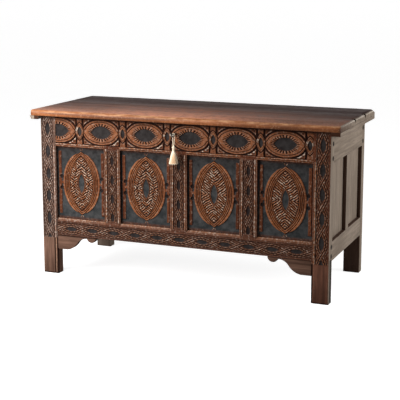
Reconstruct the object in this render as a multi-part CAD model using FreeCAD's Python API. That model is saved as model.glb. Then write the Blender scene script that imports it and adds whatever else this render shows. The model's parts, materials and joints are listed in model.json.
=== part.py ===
import FreeCAD, Part
import math
import os
from dataclasses import dataclass
from FreeCAD import Placement, Rotation, Vector

# A joined oak coffer: four framed sides of rails, muntins and panels between corner stiles,
# a boarded floor, a boarded lid on strap hinges and a box lock with a tasselled key.
# Millimetres, +X to the right of the carved front, +Y to the back, +Z up, floor at zero.

# Carcass
CARCASS_WIDTH = 1250.0
CARCASS_DEPTH = 530.0
CARCASS_HEIGHT = 675.0
STILE_WIDTH = 69.0
STILE_DEPTH = 42.0
RAIL_THICKNESS = 30.0
LEG_HEIGHT = 170.0
BOTTOM_RAIL_HEIGHT = 72.0
END_BOTTOM_RAIL_HEIGHT = 78.0
END_RAIL_DROP = 5.0
TOP_RAIL_HEIGHT = 125.5

# Muntins, panels and the joints that hold them
FRONT_MUNTINS = 3
FRONT_MUNTIN_WIDTH = 72.0
END_MUNTINS = 1
END_MUNTIN_WIDTH = 42.0
BACK_MUNTINS = 2
BACK_MUNTIN_WIDTH = 80.0
FRONT_PANEL_RECESS = 11.5
END_PANEL_RECESS = 16.0
BACK_PANEL_RECESS = 12.0
PANEL_EDGE = 9.0
PANEL_THICKNESS = 12.0
PANEL_TONGUE = 7.5
PANEL_FLOAT = 1.0
PANEL_FIELD_MARGIN = 6.0
TENON_THICKNESS = 9.0
TENON_SETBACK = 12.0
TENON_SHOULDER = 9.5
TENON_LENGTH = 36.0
END_TENON_LENGTH = 26.0
MUNTIN_TENON_LENGTH = 28.0
MORTISE_GAP = 1.0
PEG_RADIUS = 5.0
PEG_LENGTH = 27.0
PEG_INSET = 11.0
PEG_PROUD = 0.5
TOP_PEG_SHARES = (0.15, 0.6)
BOTTOM_PEG_SHARES = (0.27, 0.74)

# Shaped brackets under the front rail
BRACKET_LENGTH = 180.0
BRACKET_DROP = 62.0
BRACKET_THICKNESS = 22.0
BRACKET_SETBACK = 2.0
BRACKET_BEAD_SHARES = ((1.0, 0.065), (0.875, 0.363), (0.761, 0.121))
BRACKET_HOLLOW_SHARES = ((0.64, 0.194), (0.528, 0.452))
BRACKET_SWELL_SHARES = ((0.411, 0.806), (0.244, 1.0))

# Floor boards
FLOOR_BOARDS = 4
FLOOR_THICKNESS = 14.0
FLOOR_LIFT = 35.0
FLOOR_GROOVE = 10.0
FLOOR_REBATE = 14.0
FLOOR_GAP = 0.4

# Lid
LID_THICKNESS = 24.0
LID_END_OVERHANG = 40.0
LID_FRONT_OVERHANG = 20.0
LID_FRONT_BOARD = 224.0
LID_MIDDLE_BOARD = 162.0
LID_SEAM = 0.5
LID_NOSE_DEPTH = 9.0
LID_NOSE_HEIGHT = 14.0
LID_NOSE_STEP = 1.5
LID_END_CHAMFER = 5.0
CLEAT_GAP = 2.0
CLEAT_HEIGHT = 15.0
CLEAT_NAILS = 5
CLEAT_NAIL_MARGIN = 45.0

# Strap hinges
HINGE_INSET = 225.0
HINGE_WIDTH = 54.0
KNUCKLE_RADIUS = 6.0
KNUCKLE_GAP = 0.4
HINGE_PIN_RADIUS = 2.5
HINGE_PIN_CLEARANCE = 0.05
HINGE_PIN_HEAD = 1.6
OUTER_KNUCKLE = 16.0
HINGE_IRON = 3.0
STRAP_WIDTH = 30.0
STRAP_LENGTH = 170.0
STRAP_TIP_WIDTH = 18.0
STRAP_NOTCH_GAP = 0.6
STRAP_NAIL_SHARES = (0.34, 0.62, 0.9)
LEAF_HEIGHT = 70.0
LEAF_NAIL_SHARES = (0.4, 0.82)
LEAF_NAIL_SPREAD = 32.0

# Hand-forged nails
NAIL_RADIUS = 1.6
NAIL_HEAD_RADIUS = 4.0
NAIL_HEAD_HEIGHT = 1.2
NAIL_LENGTH = 17.0
FLOOR_NAIL_LENGTH = 32.0
CLEAT_NAIL_LENGTH = 30.0
FASTENER_GAP = 0.05

# Lock: heights and places are measured from the key's axis and the rail's inner face
KEY_DROP = 43.0
KEY_OFFSET = -8.0
CASE_WIDTH = 96.0
CASE_ABOVE = 32.0
CASE_BELOW = 22.0
CASE_DEPTH = 18.0
CASE_WALL = 2.0
EAR_WIDTH = 13.0
EAR_HEIGHT = 30.0
EAR_NAIL_SPREAD = 18.0
BOLT_LENGTH = 50.0
BOLT_HEIGHT = 12.0
BOLT_THICKNESS = 5.0
BOLT_LIFT = 7.0
BOLT_INSET = 6.5
BOLT_TIP = 10.0
BOLT_TRAVEL = 17.0
BOLT_CLEARANCE = 0.3
TALON_WIDTH = 8.4
TALON_DEPTH = 7.8
GUIDE_WALL = 3.0
LEFT_GUIDE_END = -16.0
RIGHT_GUIDE_START = 24.0
SPRING_THICKNESS = 1.0
SPRING_SEAT = 8.0
SPRING_TOUCH = -19.0
SPRING_TIP = -9.0
SPRING_TIP_RISE = 3.0
STAPLE_START = 16.0
STAPLE_WIDTH = 6.0
STAPLE_IRON = 3.0
STAPLE_PLAY = 1.0
STAPLE_SLOT_GAP = 1.5
STAPLE_PLATE_LENGTH = 34.0
STAPLE_PLATE_WIDTH = 14.0
STAPLE_PLATE_IRON = 2.5
STAPLE_NAIL_SPREAD = 22.0

# Key, its cord and tassel
SHANK_RADIUS = 3.2
SHANK_CLEARANCE = 0.06
SHANK_TIP = 1.5
BIT_RADIUS = 14.0
BIT_THICKNESS = 3.0
BIT_WIDTH = 7.0
WARD_WIDTH = 1.4
WARD_DEPTH = 5.0
KEY_REST_ANGLE = -45.0
KEYHOLE_RADIUS = 4.2
KEYHOLE_SLOT = 4.4
KEYHOLE_DROP = 15.5
COLLAR_STANDOFF = 20.0
COLLAR_LENGTH = 4.0
COLLAR_RADIUS = 5.5
NECK_LENGTH = 8.0
BOW_RADIUS = 11.5
BOW_HOLE_RADIUS = 7.5
BOW_THICKNESS = 4.0
CORD_DIAMETER = 2.5
CORD_ROUTE = ((1.7, -46.5), (5.1, 4.85), (-5.1, 4.85), (-1.7, -46.5))
CORD_ARC_SHARE = 0.45
TASSEL_TOP = -45.0
TASSEL_HEAD_RADIUS = 8.0
TASSEL_HEAD_HEIGHT = 13.0
TASSEL_NECK_RADIUS = 6.0
TASSEL_SHOULDER_RADIUS = 9.0
TASSEL_SHOULDER_DROP = 5.0
TASSEL_RADIUS = 19.0
TASSEL_LENGTH = 72.0

# How far a cut runs past the surface it opens
OVERRUN = 2.0

# Places worked out from the sizes above
LID_UNDERSIDE = CARCASS_HEIGHT
LID_TOP = LID_UNDERSIDE + LID_THICKNESS
HALF_WIDTH = CARCASS_WIDTH / 2
LID_HALF_LENGTH = HALF_WIDTH + LID_END_OVERHANG
CLEAT_WIDTH = LID_END_OVERHANG - CLEAT_GAP
NECK_STANDOFF = COLLAR_STANDOFF + COLLAR_LENGTH
BOW_STANDOFF = NECK_STANDOFF + NECK_LENGTH
KEY_REACH = BOW_STANDOFF + 2 * BOW_RADIUS
HINGE_REACH = KNUCKLE_GAP + 2 * KNUCKLE_RADIUS
FRONT_Y = (KEY_REACH - HINGE_REACH - CARCASS_DEPTH) / 2
BACK_Y = FRONT_Y + CARCASS_DEPTH
LID_FRONT_Y = FRONT_Y - LID_FRONT_OVERHANG
PIVOT_Y = BACK_Y + KNUCKLE_GAP + KNUCKLE_RADIUS
PIVOT_Z = LID_UNDERSIDE - KNUCKLE_RADIUS
TENON_CHEEKS = (TENON_SETBACK, TENON_SETBACK + TENON_THICKNESS)
TOP_RAIL = (CARCASS_HEIGHT - TOP_RAIL_HEIGHT, CARCASS_HEIGHT)
FRONT_BOTTOM_RAIL = (LEG_HEIGHT, LEG_HEIGHT + BOTTOM_RAIL_HEIGHT)
END_LEG_HEIGHT = LEG_HEIGHT - END_RAIL_DROP
END_BOTTOM_RAIL = (END_LEG_HEIGHT, END_LEG_HEIGHT + END_BOTTOM_RAIL_HEIGHT)
FLOOR_TOP = LEG_HEIGHT + FLOOR_LIFT
FLOOR = (FLOOR_TOP - FLOOR_THICKNESS, FLOOR_TOP)
FRONT_INNER_Y = FRONT_Y + RAIL_THICKNESS
BACK_INNER_Y = BACK_Y - RAIL_THICKNESS
KEY_HEIGHT = CARCASS_HEIGHT - KEY_DROP
LOCK_PLACE = Placement(Vector(KEY_OFFSET, FRONT_INNER_Y, KEY_HEIGHT), Rotation())
BOLT_Y = (BOLT_INSET, BOLT_INSET + BOLT_THICKNESS)
BOLT_Z = (BOLT_LIFT, BOLT_LIFT + BOLT_HEIGHT)
CASE_INNER_DEPTH = CASE_DEPTH - CASE_WALL
CASE_INNER_TOP = CASE_ABOVE - CASE_WALL
CORD_STANDOFF = NECK_STANDOFF + NECK_LENGTH / 2

X_AXIS = Vector(1, 0, 0)
Y_AXIS = Vector(0, 1, 0)
Z_AXIS = Vector(0, 0, 1)


def box(x, y, z):
    """A block between a low and a high value on each axis."""
    return Part.makeBox(x[1] - x[0], y[1] - y[0], z[1] - z[0], Vector(x[0], y[0], z[0]))


def rod(start, direction, radius, length):
    """A round bar from a start point along a direction."""
    return Part.makeCylinder(radius, length, start, direction)


def about(centre, width):
    """The low and high values of a width centred on a place."""
    return (centre - width / 2, centre + width / 2)


def placed(shape, placement):
    """A copy of a shape carried to its place."""
    copy = shape.copy()
    copy.Placement = placement.multiply(copy.Placement)
    return copy


def prism(points, direction):
    """A closed outline of points extruded along a direction."""
    return Part.Face(Part.makePolygon(points + points[:1])).extrude(direction)


@dataclass
class Frame:
    """One framed side, drawn with X along it, Y inwards from its outer face and Z up."""

    span: float
    bottom: tuple
    top: tuple
    muntins: int
    muntin_width: float
    recess: float
    tenon: float
    placement: Placement

    def panel_spans(self):
        """Low and high X of each panel opening, from left to right."""
        width = (self.span - self.muntins * self.muntin_width) / (self.muntins + 1)
        pitch = width + self.muntin_width
        starts = [i * pitch - self.span / 2 for i in range(self.muntins + 1)]
        return [(start, start + width) for start in starts]

    def muntin_spans(self):
        """Low and high X of each muntin, from left to right."""
        panels = self.panel_spans()
        return [(left[1], right[0]) for left, right in zip(panels, panels[1:])]

    def rail_tenons(self, z, gap=0.0):
        """The tenons on a rail's ends, or with a gap the mortises for them."""
        height = (z[0] + TENON_SHOULDER, z[1] - TENON_SHOULDER)
        shoulder = self.span / 2
        tip = shoulder + self.tenon + gap
        return [box(x, TENON_CHEEKS, height) for x in ((shoulder, tip), (-tip, -shoulder))]

    def muntin_tenons(self, x, gap=0.0):
        """The tenons on a muntin's ends, or with a gap the mortises for them."""
        width = (x[0] + TENON_SHOULDER, x[1] - TENON_SHOULDER)
        reach = MUNTIN_TENON_LENGTH + gap
        low = (self.bottom[1] - reach, self.bottom[1])
        high = (self.top[0], self.top[0] + reach)
        return [box(width, TENON_CHEEKS, z) for z in (low, high)]

    def panel_edge(self, x, gap=0.0):
        """A panel's thin edge in its grooves, or with a gap the grooves themselves."""
        reach = PANEL_TONGUE + gap
        y = (self.recess, self.recess + PANEL_EDGE)
        return box((x[0] - reach, x[1] + reach), y, (self.bottom[1] - reach, self.top[0] + reach))

    def grooves(self):
        """The grooves that all panels of the frame sit in."""
        return [self.panel_edge(x, PANEL_FLOAT) for x in self.panel_spans()]

    def rail(self, z):
        """A rail with a tenon on each end, its muntin mortises and its panel grooves."""
        body = box(about(0, self.span), (0, RAIL_THICKNESS), z)
        mortises = [m for x in self.muntin_spans() for m in self.muntin_tenons(x, MORTISE_GAP)]
        return body.fuse(self.rail_tenons(z)).removeSplitter().cut(mortises + self.grooves())

    def muntin(self, x):
        """A muntin with a tenon on each end and its panel grooves."""
        body = box(x, (0, RAIL_THICKNESS), (self.bottom[1], self.top[0]))
        return body.fuse(self.muntin_tenons(x)).removeSplitter().cut(self.grooves())

    def panel(self, x):
        """A panel with a flat face and a thicker field behind."""
        across = (x[0] + PANEL_FIELD_MARGIN, x[1] - PANEL_FIELD_MARGIN)
        up = (self.bottom[1] + PANEL_FIELD_MARGIN, self.top[0] - PANEL_FIELD_MARGIN)
        field = box(across, (self.recess, self.recess + PANEL_THICKNESS), up)
        return self.panel_edge(x).fuse(field).removeSplitter()

    def stile_cuts(self):
        """What the stiles at both ends of the frame lose to its rails and panels."""
        cuts = self.grooves()
        for z in (self.bottom, self.top):
            cuts += self.rail_tenons(z, MORTISE_GAP)
        return [placed(cut, self.placement) for cut in cuts]

    def pegs(self, gap=0.0):
        """The pegs through every tenon, or with a gap the holes for them."""
        places = []
        for side in (-1, 1):
            x = side * (self.span / 2 + PEG_INSET)
            for z, shares in ((self.bottom, BOTTOM_PEG_SHARES), (self.top, TOP_PEG_SHARES)):
                places += [(x, z[0] + share * (z[1] - z[0])) for share in shares]
        for x in self.muntin_spans():
            places += [(sum(x) / 2, self.bottom[1] - PEG_INSET), (sum(x) / 2, self.top[0] + PEG_INSET)]
        length = PEG_PROUD + PEG_LENGTH + gap
        solids = [rod(Vector(x, -PEG_PROUD, z), Y_AXIS, PEG_RADIUS + gap, length) for x, z in places]
        return [placed(solid, self.placement) for solid in solids]

    def pieces(self, side, muntin_names, panel_names):
        """The rails, muntins and panels of the frame by name, in their places."""
        made = {f"{side}_top_rail": self.rail(self.top), f"{side}_bottom_rail": self.rail(self.bottom)}
        made.update((name, self.muntin(x)) for name, x in zip(muntin_names, self.muntin_spans()))
        made.update((name, self.panel(x)) for name, x in zip(panel_names, self.panel_spans()))
        return {name: placed(shape, self.placement) for name, shape in made.items()}


FRONT_SPAN = CARCASS_WIDTH - 2 * STILE_WIDTH
END_SPAN = CARCASS_DEPTH - 2 * STILE_DEPTH
MID_Y = (FRONT_Y + BACK_Y) / 2
FRONT = Frame(FRONT_SPAN, FRONT_BOTTOM_RAIL, TOP_RAIL, FRONT_MUNTINS, FRONT_MUNTIN_WIDTH, FRONT_PANEL_RECESS,
              TENON_LENGTH, Placement(Vector(0, FRONT_Y, 0), Rotation()))
BACK = Frame(FRONT_SPAN, FRONT_BOTTOM_RAIL, TOP_RAIL, BACK_MUNTINS, BACK_MUNTIN_WIDTH, BACK_PANEL_RECESS,
             TENON_LENGTH, Placement(Vector(0, BACK_Y, 0), Rotation(Z_AXIS, 180)))
RIGHT_END = Frame(END_SPAN, END_BOTTOM_RAIL, TOP_RAIL, END_MUNTINS, END_MUNTIN_WIDTH, END_PANEL_RECESS,
                  END_TENON_LENGTH, Placement(Vector(HALF_WIDTH, MID_Y, 0), Rotation(Z_AXIS, 90)))
LEFT_END = Frame(END_SPAN, END_BOTTOM_RAIL, TOP_RAIL, END_MUNTINS, END_MUNTIN_WIDTH, END_PANEL_RECESS,
                 END_TENON_LENGTH, Placement(Vector(-HALF_WIDTH, MID_Y, 0), Rotation(Z_AXIS, -90)))


def stile_block(side, front, gap=0.0):
    """The plain timber of a corner stile, which runs down to the floor as a leg."""
    x = sorted((side * (HALF_WIDTH + gap), side * (HALF_WIDTH - STILE_WIDTH - gap)))
    outer = FRONT_Y - gap if front else BACK_Y + gap
    inner = FRONT_Y + STILE_DEPTH + gap if front else BACK_Y - STILE_DEPTH - gap
    return box(x, sorted((outer, inner)), (0, CARCASS_HEIGHT))


def stiles():
    """The four corner stiles with their mortises and grooves."""
    made = {}
    for side, word in ((-1, "left"), (1, "right")):
        end = LEFT_END if side < 0 else RIGHT_END
        for front in (True, False):
            frame = FRONT if front else BACK
            name = f"{'front' if front else 'rear'}_stile_{word}"
            made[name] = stile_block(side, front).cut(frame.stile_cuts() + end.stile_cuts())
    return made


def bracket():
    """The right-hand shaped bracket: a bead, a hollow and a swell down to the leg."""
    corner = Vector(HALF_WIDTH - STILE_WIDTH, FRONT_Y + BRACKET_SETBACK, LEG_HEIGHT)

    def at(share):
        return corner + Vector(-share[0] * BRACKET_LENGTH, 0, -share[1] * BRACKET_DROP)

    bead = [at(share) for share in BRACKET_BEAD_SHARES]
    hollow = [bead[-1]] + [at(share) for share in BRACKET_HOLLOW_SHARES]
    swell = [hollow[-1]] + [at(share) for share in BRACKET_SWELL_SHARES]
    foot = at((0, 1))
    tip = at((1, 0))
    edges = [Part.LineSegment(corner, tip), Part.LineSegment(tip, bead[0])]
    edges += [Part.Arc(*points) for points in (bead, hollow, swell)]
    edges += [Part.LineSegment(swell[-1], foot), Part.LineSegment(foot, corner)]
    outline = Part.Wire([edge.toShape() for edge in edges])
    return Part.Face(outline).extrude(Y_AXIS * BRACKET_THICKNESS)


def floor_spans():
    """Low and high X of each floor board."""
    half = HALF_WIDTH - RAIL_THICKNESS
    pitch = 2 * half / FLOOR_BOARDS
    starts = [i * pitch - half for i in range(FLOOR_BOARDS)]
    return [(start + FLOOR_GAP / 2, start + pitch - FLOOR_GAP / 2) for start in starts]


def floor_boards():
    """Boards that run from a groove in the front rail to a rebate under the back rail."""
    y = (FRONT_INNER_Y - FLOOR_GROOVE + FLOOR_GAP, BACK_INNER_Y + FLOOR_REBATE - FLOOR_GAP)
    corners = [stile_block(side, front, FLOOR_GAP) for side in (-1, 1) for front in (True, False)]
    boards = [box(x, y, FLOOR).cut(corners) for x in floor_spans()]
    return {f"floor_board_{i}": board for i, board in enumerate(boards, 1)}


def floor_seats():
    """The groove in the front bottom rail and the rebate in the back one."""
    along = about(0, FRONT_SPAN)
    groove = box(along, (FRONT_INNER_Y - FLOOR_GROOVE, FRONT_INNER_Y + OVERRUN), FLOOR)
    below = (LEG_HEIGHT - OVERRUN, FLOOR_TOP)
    rebate = box(along, (BACK_INNER_Y - OVERRUN, BACK_INNER_Y + FLOOR_REBATE), below)
    return groove, rebate


def lid_chamfers():
    """What the lid's top loses along both ends."""
    cuts = []
    start_y = LID_FRONT_Y - OVERRUN
    run = Y_AXIS * (BACK_Y + OVERRUN - start_y)
    for side in (-1, 1):
        low = Vector(side * (LID_HALF_LENGTH + OVERRUN), start_y, LID_TOP - LID_END_CHAMFER - OVERRUN)
        high = Vector(side * (LID_HALF_LENGTH - LID_END_CHAMFER - OVERRUN), start_y, LID_TOP + OVERRUN)
        corner = Vector(low.x, start_y, high.z)
        cuts.append(prism([low, high, corner], run))
    return cuts


def lid_front_board():
    """The lid's front board with a stepped, rounded nose along its front edge."""
    x = -LID_HALF_LENGTH
    nose_y = LID_FRONT_Y + LID_NOSE_DEPTH
    step_z = LID_TOP - LID_NOSE_STEP
    spring_z = step_z - LID_NOSE_HEIGHT
    back_y = LID_FRONT_Y + LID_FRONT_BOARD - LID_SEAM
    radius = (LID_NOSE_DEPTH ** 2 + LID_NOSE_HEIGHT ** 2) / (2 * LID_NOSE_DEPTH)
    half_sweep = math.asin(min(1, LID_NOSE_HEIGHT / radius)) / 2
    spring = Vector(x, LID_FRONT_Y, spring_z)
    middle = spring + Vector(0, radius * (1 - math.cos(half_sweep)), radius * math.sin(half_sweep))
    crown = Vector(x, nose_y, step_z)
    corners = [crown, Vector(x, nose_y, LID_TOP), Vector(x, back_y, LID_TOP), Vector(x, back_y, LID_UNDERSIDE),
               Vector(x, LID_FRONT_Y, LID_UNDERSIDE), spring]
    edges = [Part.LineSegment(a, b).toShape() for a, b in zip(corners, corners[1:])]
    outline = Part.Wire(edges + [Part.Arc(spring, middle, crown).toShape()])
    return Part.Face(outline).extrude(X_AXIS * (2 * LID_HALF_LENGTH))


def lid_boards():
    """The three boards of the lid, from front to back."""
    along = about(0, 2 * LID_HALF_LENGTH)
    height = (LID_UNDERSIDE, LID_TOP)
    first = LID_FRONT_Y + LID_FRONT_BOARD
    second = first + LID_MIDDLE_BOARD
    boards = {
        "lid_front_board": lid_front_board(),
        "lid_middle_board": box(along, (first, second - LID_SEAM), height),
        "lid_rear_board": box(along, (second, BACK_Y), height),
    }
    return {name: board.cut(lid_chamfers()) for name, board in boards.items()}


def cleat(side):
    """A batten under one end of the lid that holds its boards together."""
    x = sorted((side * LID_HALF_LENGTH, side * (LID_HALF_LENGTH - CLEAT_WIDTH)))
    return box(x, (LID_FRONT_Y, BACK_Y), (LID_UNDERSIDE - CLEAT_HEIGHT, LID_UNDERSIDE))


def barrel(x, centre):
    """A bored hinge knuckle between two places along the pivot."""
    start = Vector(centre + x[0], PIVOT_Y, PIVOT_Z)
    tube = rod(start, X_AXIS, KNUCKLE_RADIUS, x[1] - x[0])
    bore = rod(start, X_AXIS, HINGE_PIN_RADIUS + HINGE_PIN_CLEARANCE, x[1] - x[0])
    return tube, bore


def middle_knuckle():
    """The stretch of the pivot that the strap's own knuckle takes up."""
    return about(0, HINGE_WIDTH - 2 * OUTER_KNUCKLE - 2 * KNUCKLE_GAP)


def hinge_strap(centre):
    """The tapering strap under the lid with the middle knuckle at its root."""
    z = LID_UNDERSIDE - HINGE_IRON
    root_y = BACK_Y - STRAP_NOTCH_GAP
    tip_y = BACK_Y - STRAP_LENGTH
    half_root = STRAP_WIDTH / 2
    half_tip = STRAP_TIP_WIDTH / 2
    left = [Vector(centre - half_root, root_y, z), Vector(centre - half_tip, tip_y, z)]
    right = [Vector(centre + half_tip, tip_y, z), Vector(centre + half_root, root_y, z)]
    edges = [Part.LineSegment(*left), Part.Arc(left[1], Vector(centre, tip_y - half_tip, z), right[0]),
             Part.LineSegment(*right), Part.LineSegment(right[1], left[0])]
    plate = Part.Face(Part.Wire([edge.toShape() for edge in edges])).extrude(Z_AXIS * HINGE_IRON)
    knuckle = middle_knuckle()
    neck_x = (centre + knuckle[0], centre + knuckle[1])
    neck = box(neck_x, (root_y, PIVOT_Y), (z, LID_UNDERSIDE))
    tube, bore = barrel(knuckle, centre)
    return plate.fuse([neck, tube]).removeSplitter().cut(bore)


def hinge_leaf(centre):
    """The leaf on the back rail with the two outer knuckles."""
    half = HINGE_WIDTH / 2
    tubes = [barrel(x, centre) for x in ((-half, OUTER_KNUCKLE - half), (half - OUTER_KNUCKLE, half))]
    relief = middle_knuckle()
    plate = box(about(centre, HINGE_WIDTH), (BACK_Y, BACK_Y + HINGE_IRON), (PIVOT_Z - LEAF_HEIGHT, PIVOT_Z))
    clear_x = (centre + relief[0] - KNUCKLE_GAP, centre + relief[1] + KNUCKLE_GAP)
    clear_z = (PIVOT_Z - KNUCKLE_RADIUS - KNUCKLE_GAP, PIVOT_Z + OVERRUN)
    gap = box(clear_x, (BACK_Y - OVERRUN, BACK_Y + HINGE_IRON + OVERRUN), clear_z)
    return plate.cut(gap).fuse([tube for tube, _ in tubes]).removeSplitter().cut([bore for _, bore in tubes])


def hinge_pin(centre):
    """The riveted pin that runs through all three knuckles."""
    half = HINGE_WIDTH / 2
    start = Vector(centre - half, PIVOT_Y, PIVOT_Z)
    pin = rod(start, X_AXIS, HINGE_PIN_RADIUS, HINGE_WIDTH)
    heads = [rod(Vector(centre + x, PIVOT_Y, PIVOT_Z), X_AXIS, KNUCKLE_RADIUS - HINGE_PIN_HEAD, HINGE_PIN_HEAD)
             for x in (-half - HINGE_PIN_HEAD, half)]
    return pin.fuse(heads).removeSplitter()


def strap_notch(centre):
    """The notch in the back rail's top edge that a strap lies in."""
    x = about(centre, STRAP_WIDTH + 2 * STRAP_NOTCH_GAP)
    z = (LID_UNDERSIDE - HINGE_IRON - STRAP_NOTCH_GAP, LID_UNDERSIDE + OVERRUN)
    return box(x, (BACK_INNER_Y - OVERRUN, BACK_Y + OVERRUN), z)


def lock_case():
    """The open-fronted iron box behind the rail, with the bolt's two guides and its nailing ears."""
    shell = box(about(0, CASE_WIDTH), (0, CASE_DEPTH), (-CASE_BELOW, CASE_ABOVE))
    inner = CASE_WIDTH - 2 * CASE_WALL
    room = box(about(0, inner), (-OVERRUN, CASE_INNER_DEPTH), (CASE_WALL - CASE_BELOW, CASE_INNER_TOP))
    slot_x = (STAPLE_START - STAPLE_SLOT_GAP, STAPLE_START + STAPLE_WIDTH + STAPLE_SLOT_GAP)
    slot = box(slot_x, (-OVERRUN, CASE_INNER_DEPTH), (CASE_INNER_TOP - OVERRUN, CASE_ABOVE + OVERRUN))
    channel_y = (BOLT_Y[0] - BOLT_CLEARANCE, BOLT_Y[1] + BOLT_CLEARANCE)
    bed = BOLT_Z[0] - BOLT_CLEARANCE
    channel = box(about(0, inner), channel_y, (bed, BOLT_Z[1] + OVERRUN))
    guides = []
    for x in ((-inner / 2, LEFT_GUIDE_END), (RIGHT_GUIDE_START, inner / 2)):
        guides.append(box(x, (channel_y[0] - GUIDE_WALL, CASE_INNER_DEPTH), (bed - GUIDE_WALL, BOLT_Z[1])).cut(channel))
    ears = [box(sorted((side * CASE_WIDTH / 2, side * (CASE_WIDTH / 2 + EAR_WIDTH))), (0, CASE_WALL),
                about(0, EAR_HEIGHT)) for side in (-1, 1)]
    bearing = rod(Vector(0, 0, 0), Y_AXIS, SHANK_RADIUS + SHANK_CLEARANCE, CASE_DEPTH + OVERRUN)
    case = shell.cut([room, slot]).fuse(guides + ears).removeSplitter().cut(bearing)
    return placed(case, LOCK_PLACE)


def lock_bolt():
    """The bolt, drawn back, with the talon that the key's bit moves it by."""
    bar = box((BOLT_TIP - BOLT_LENGTH, BOLT_TIP), BOLT_Y, BOLT_Z)
    talon = box(about(-BOLT_TRAVEL / 2, TALON_WIDTH), (BOLT_Y[0] - OVERRUN, BOLT_Y[1] + OVERRUN),
                (BOLT_LIFT - OVERRUN, BOLT_LIFT + TALON_DEPTH))
    return placed(bar.cut(talon), LOCK_PLACE)


def lock_spring():
    """The leaf spring that bears on the bolt from the roof of the case."""
    seat_z = CASE_INNER_TOP - SPRING_THICKNESS
    touch_z = BOLT_Z[1] + BOLT_CLEARANCE
    start = CASE_WALL - CASE_WIDTH / 2
    under = [(start, seat_z), (start + SPRING_SEAT, seat_z), (SPRING_TOUCH, touch_z),
             (SPRING_TIP, touch_z + SPRING_TIP_RISE)]
    lower = [Vector(x, BOLT_Y[0], z) for x, z in under]
    upper = [point + Z_AXIS * SPRING_THICKNESS for point in reversed(lower)]
    return placed(prism(lower + upper, Y_AXIS * BOLT_THICKNESS), LOCK_PLACE)


def lid_staple():
    """The plate under the lid with the eye that drops into the lock."""
    x = (STAPLE_START, STAPLE_START + STAPLE_WIDTH)
    eye_y = (BOLT_Y[0] - STAPLE_PLAY, BOLT_Y[1] + STAPLE_PLAY)
    eye_bottom = BOLT_Z[0] - STAPLE_PLAY
    plate_z = KEY_DROP - STAPLE_PLATE_IRON
    loop = box(x, (eye_y[0] - STAPLE_IRON, eye_y[1] + STAPLE_IRON), (eye_bottom - STAPLE_IRON, plate_z))
    eye = box((x[0] - OVERRUN, x[1] + OVERRUN), eye_y, (eye_bottom, plate_z))
    plate = box(about(sum(x) / 2, STAPLE_PLATE_LENGTH), about(sum(eye_y) / 2, STAPLE_PLATE_WIDTH),
                (plate_z, KEY_DROP))
    return placed(loop.cut(eye).fuse(plate).removeSplitter(), LOCK_PLACE)


def keyhole():
    """The hole and slot through the front rail that take the key."""
    start = Vector(0, -RAIL_THICKNESS - OVERRUN, 0)
    hole = rod(start, Y_AXIS, KEYHOLE_RADIUS, RAIL_THICKNESS + 2 * OVERRUN)
    slot = box(about(0, KEYHOLE_SLOT), (-RAIL_THICKNESS - OVERRUN, OVERRUN), (-KEYHOLE_DROP, 0))
    return [placed(cut, LOCK_PLACE) for cut in (hole, slot)]


def key():
    """The key with its bit, collar and ring bow, part-turned in the unlocked lock."""
    tip = CASE_DEPTH + SHANK_TIP
    front = -RAIL_THICKNESS
    bow_y = front - BOW_STANDOFF - BOW_RADIUS
    shank = rod(Vector(0, tip, 0), -Y_AXIS, SHANK_RADIUS, tip - bow_y - BOW_HOLE_RADIUS)
    collar = rod(Vector(0, front - COLLAR_STANDOFF, 0), -Y_AXIS, COLLAR_RADIUS, COLLAR_LENGTH)
    bit_y = about(sum(BOLT_Y) / 2, BIT_WIDTH)
    bit = box(about(0, BIT_THICKNESS), bit_y, (0, BIT_RADIUS))
    ward_z = (BIT_RADIUS - WARD_DEPTH, BIT_RADIUS + OVERRUN)
    ward = box(about(0, BIT_THICKNESS + OVERRUN), about(sum(bit_y) / 2, WARD_WIDTH), ward_z)
    ring_start = Vector(-BOW_THICKNESS / 2, bow_y, 0)
    ring = rod(ring_start, X_AXIS, BOW_RADIUS, BOW_THICKNESS)
    hole = rod(ring_start, X_AXIS, BOW_HOLE_RADIUS, BOW_THICKNESS)
    blank = shank.fuse([collar, bit.cut(ward), ring.cut(hole)]).removeSplitter()
    return placed(placed(blank, Placement(Vector(0, 0, 0), Rotation(Y_AXIS, KEY_REST_ANGLE))), LOCK_PLACE)


def cord_point(place):
    """A point of the cord's route, given across and up from the key's axis."""
    return Vector(place[0], -RAIL_THICKNESS - CORD_STANDOFF, place[1])


def tassel_cord():
    """The cord looped over the key's neck: straight runs joined by tangent arcs."""
    route = [cord_point(place) for place in CORD_ROUTE]
    edges = []
    start = route[0]
    for before, corner, after in zip(route, route[1:], route[2:]):
        back = (before - corner).normalize()
        ahead = (after - corner).normalize()
        half_turn = (math.pi - back.getAngle(ahead)) / 2
        tangent = CORD_ARC_SHARE * min((before - corner).Length, (after - corner).Length)
        radius = tangent / math.tan(half_turn)
        middle = corner + (back + ahead).normalize() * (math.hypot(radius, tangent) - radius)
        print(f"cord arc radius {radius:.2f}")
        edges.append(Part.LineSegment(start, corner + back * tangent).toShape())
        edges.append(Part.Arc(corner + back * tangent, middle, corner + ahead * tangent).toShape())
        start = corner + ahead * tangent
    edges.append(Part.LineSegment(start, route[-1]).toShape())
    path = Part.Wire(edges)
    section = Part.Wire(Part.makeCircle(CORD_DIAMETER / 2, route[0], route[1] - route[0]))
    tube = path.makePipeShell([section], True, False)
    area = math.pi * (CORD_DIAMETER / 2) ** 2
    print(f"cord length {path.Length:.1f}, volume {tube.Volume:.1f} against {area * path.Length:.1f}")
    return placed(tube, LOCK_PLACE)


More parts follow.
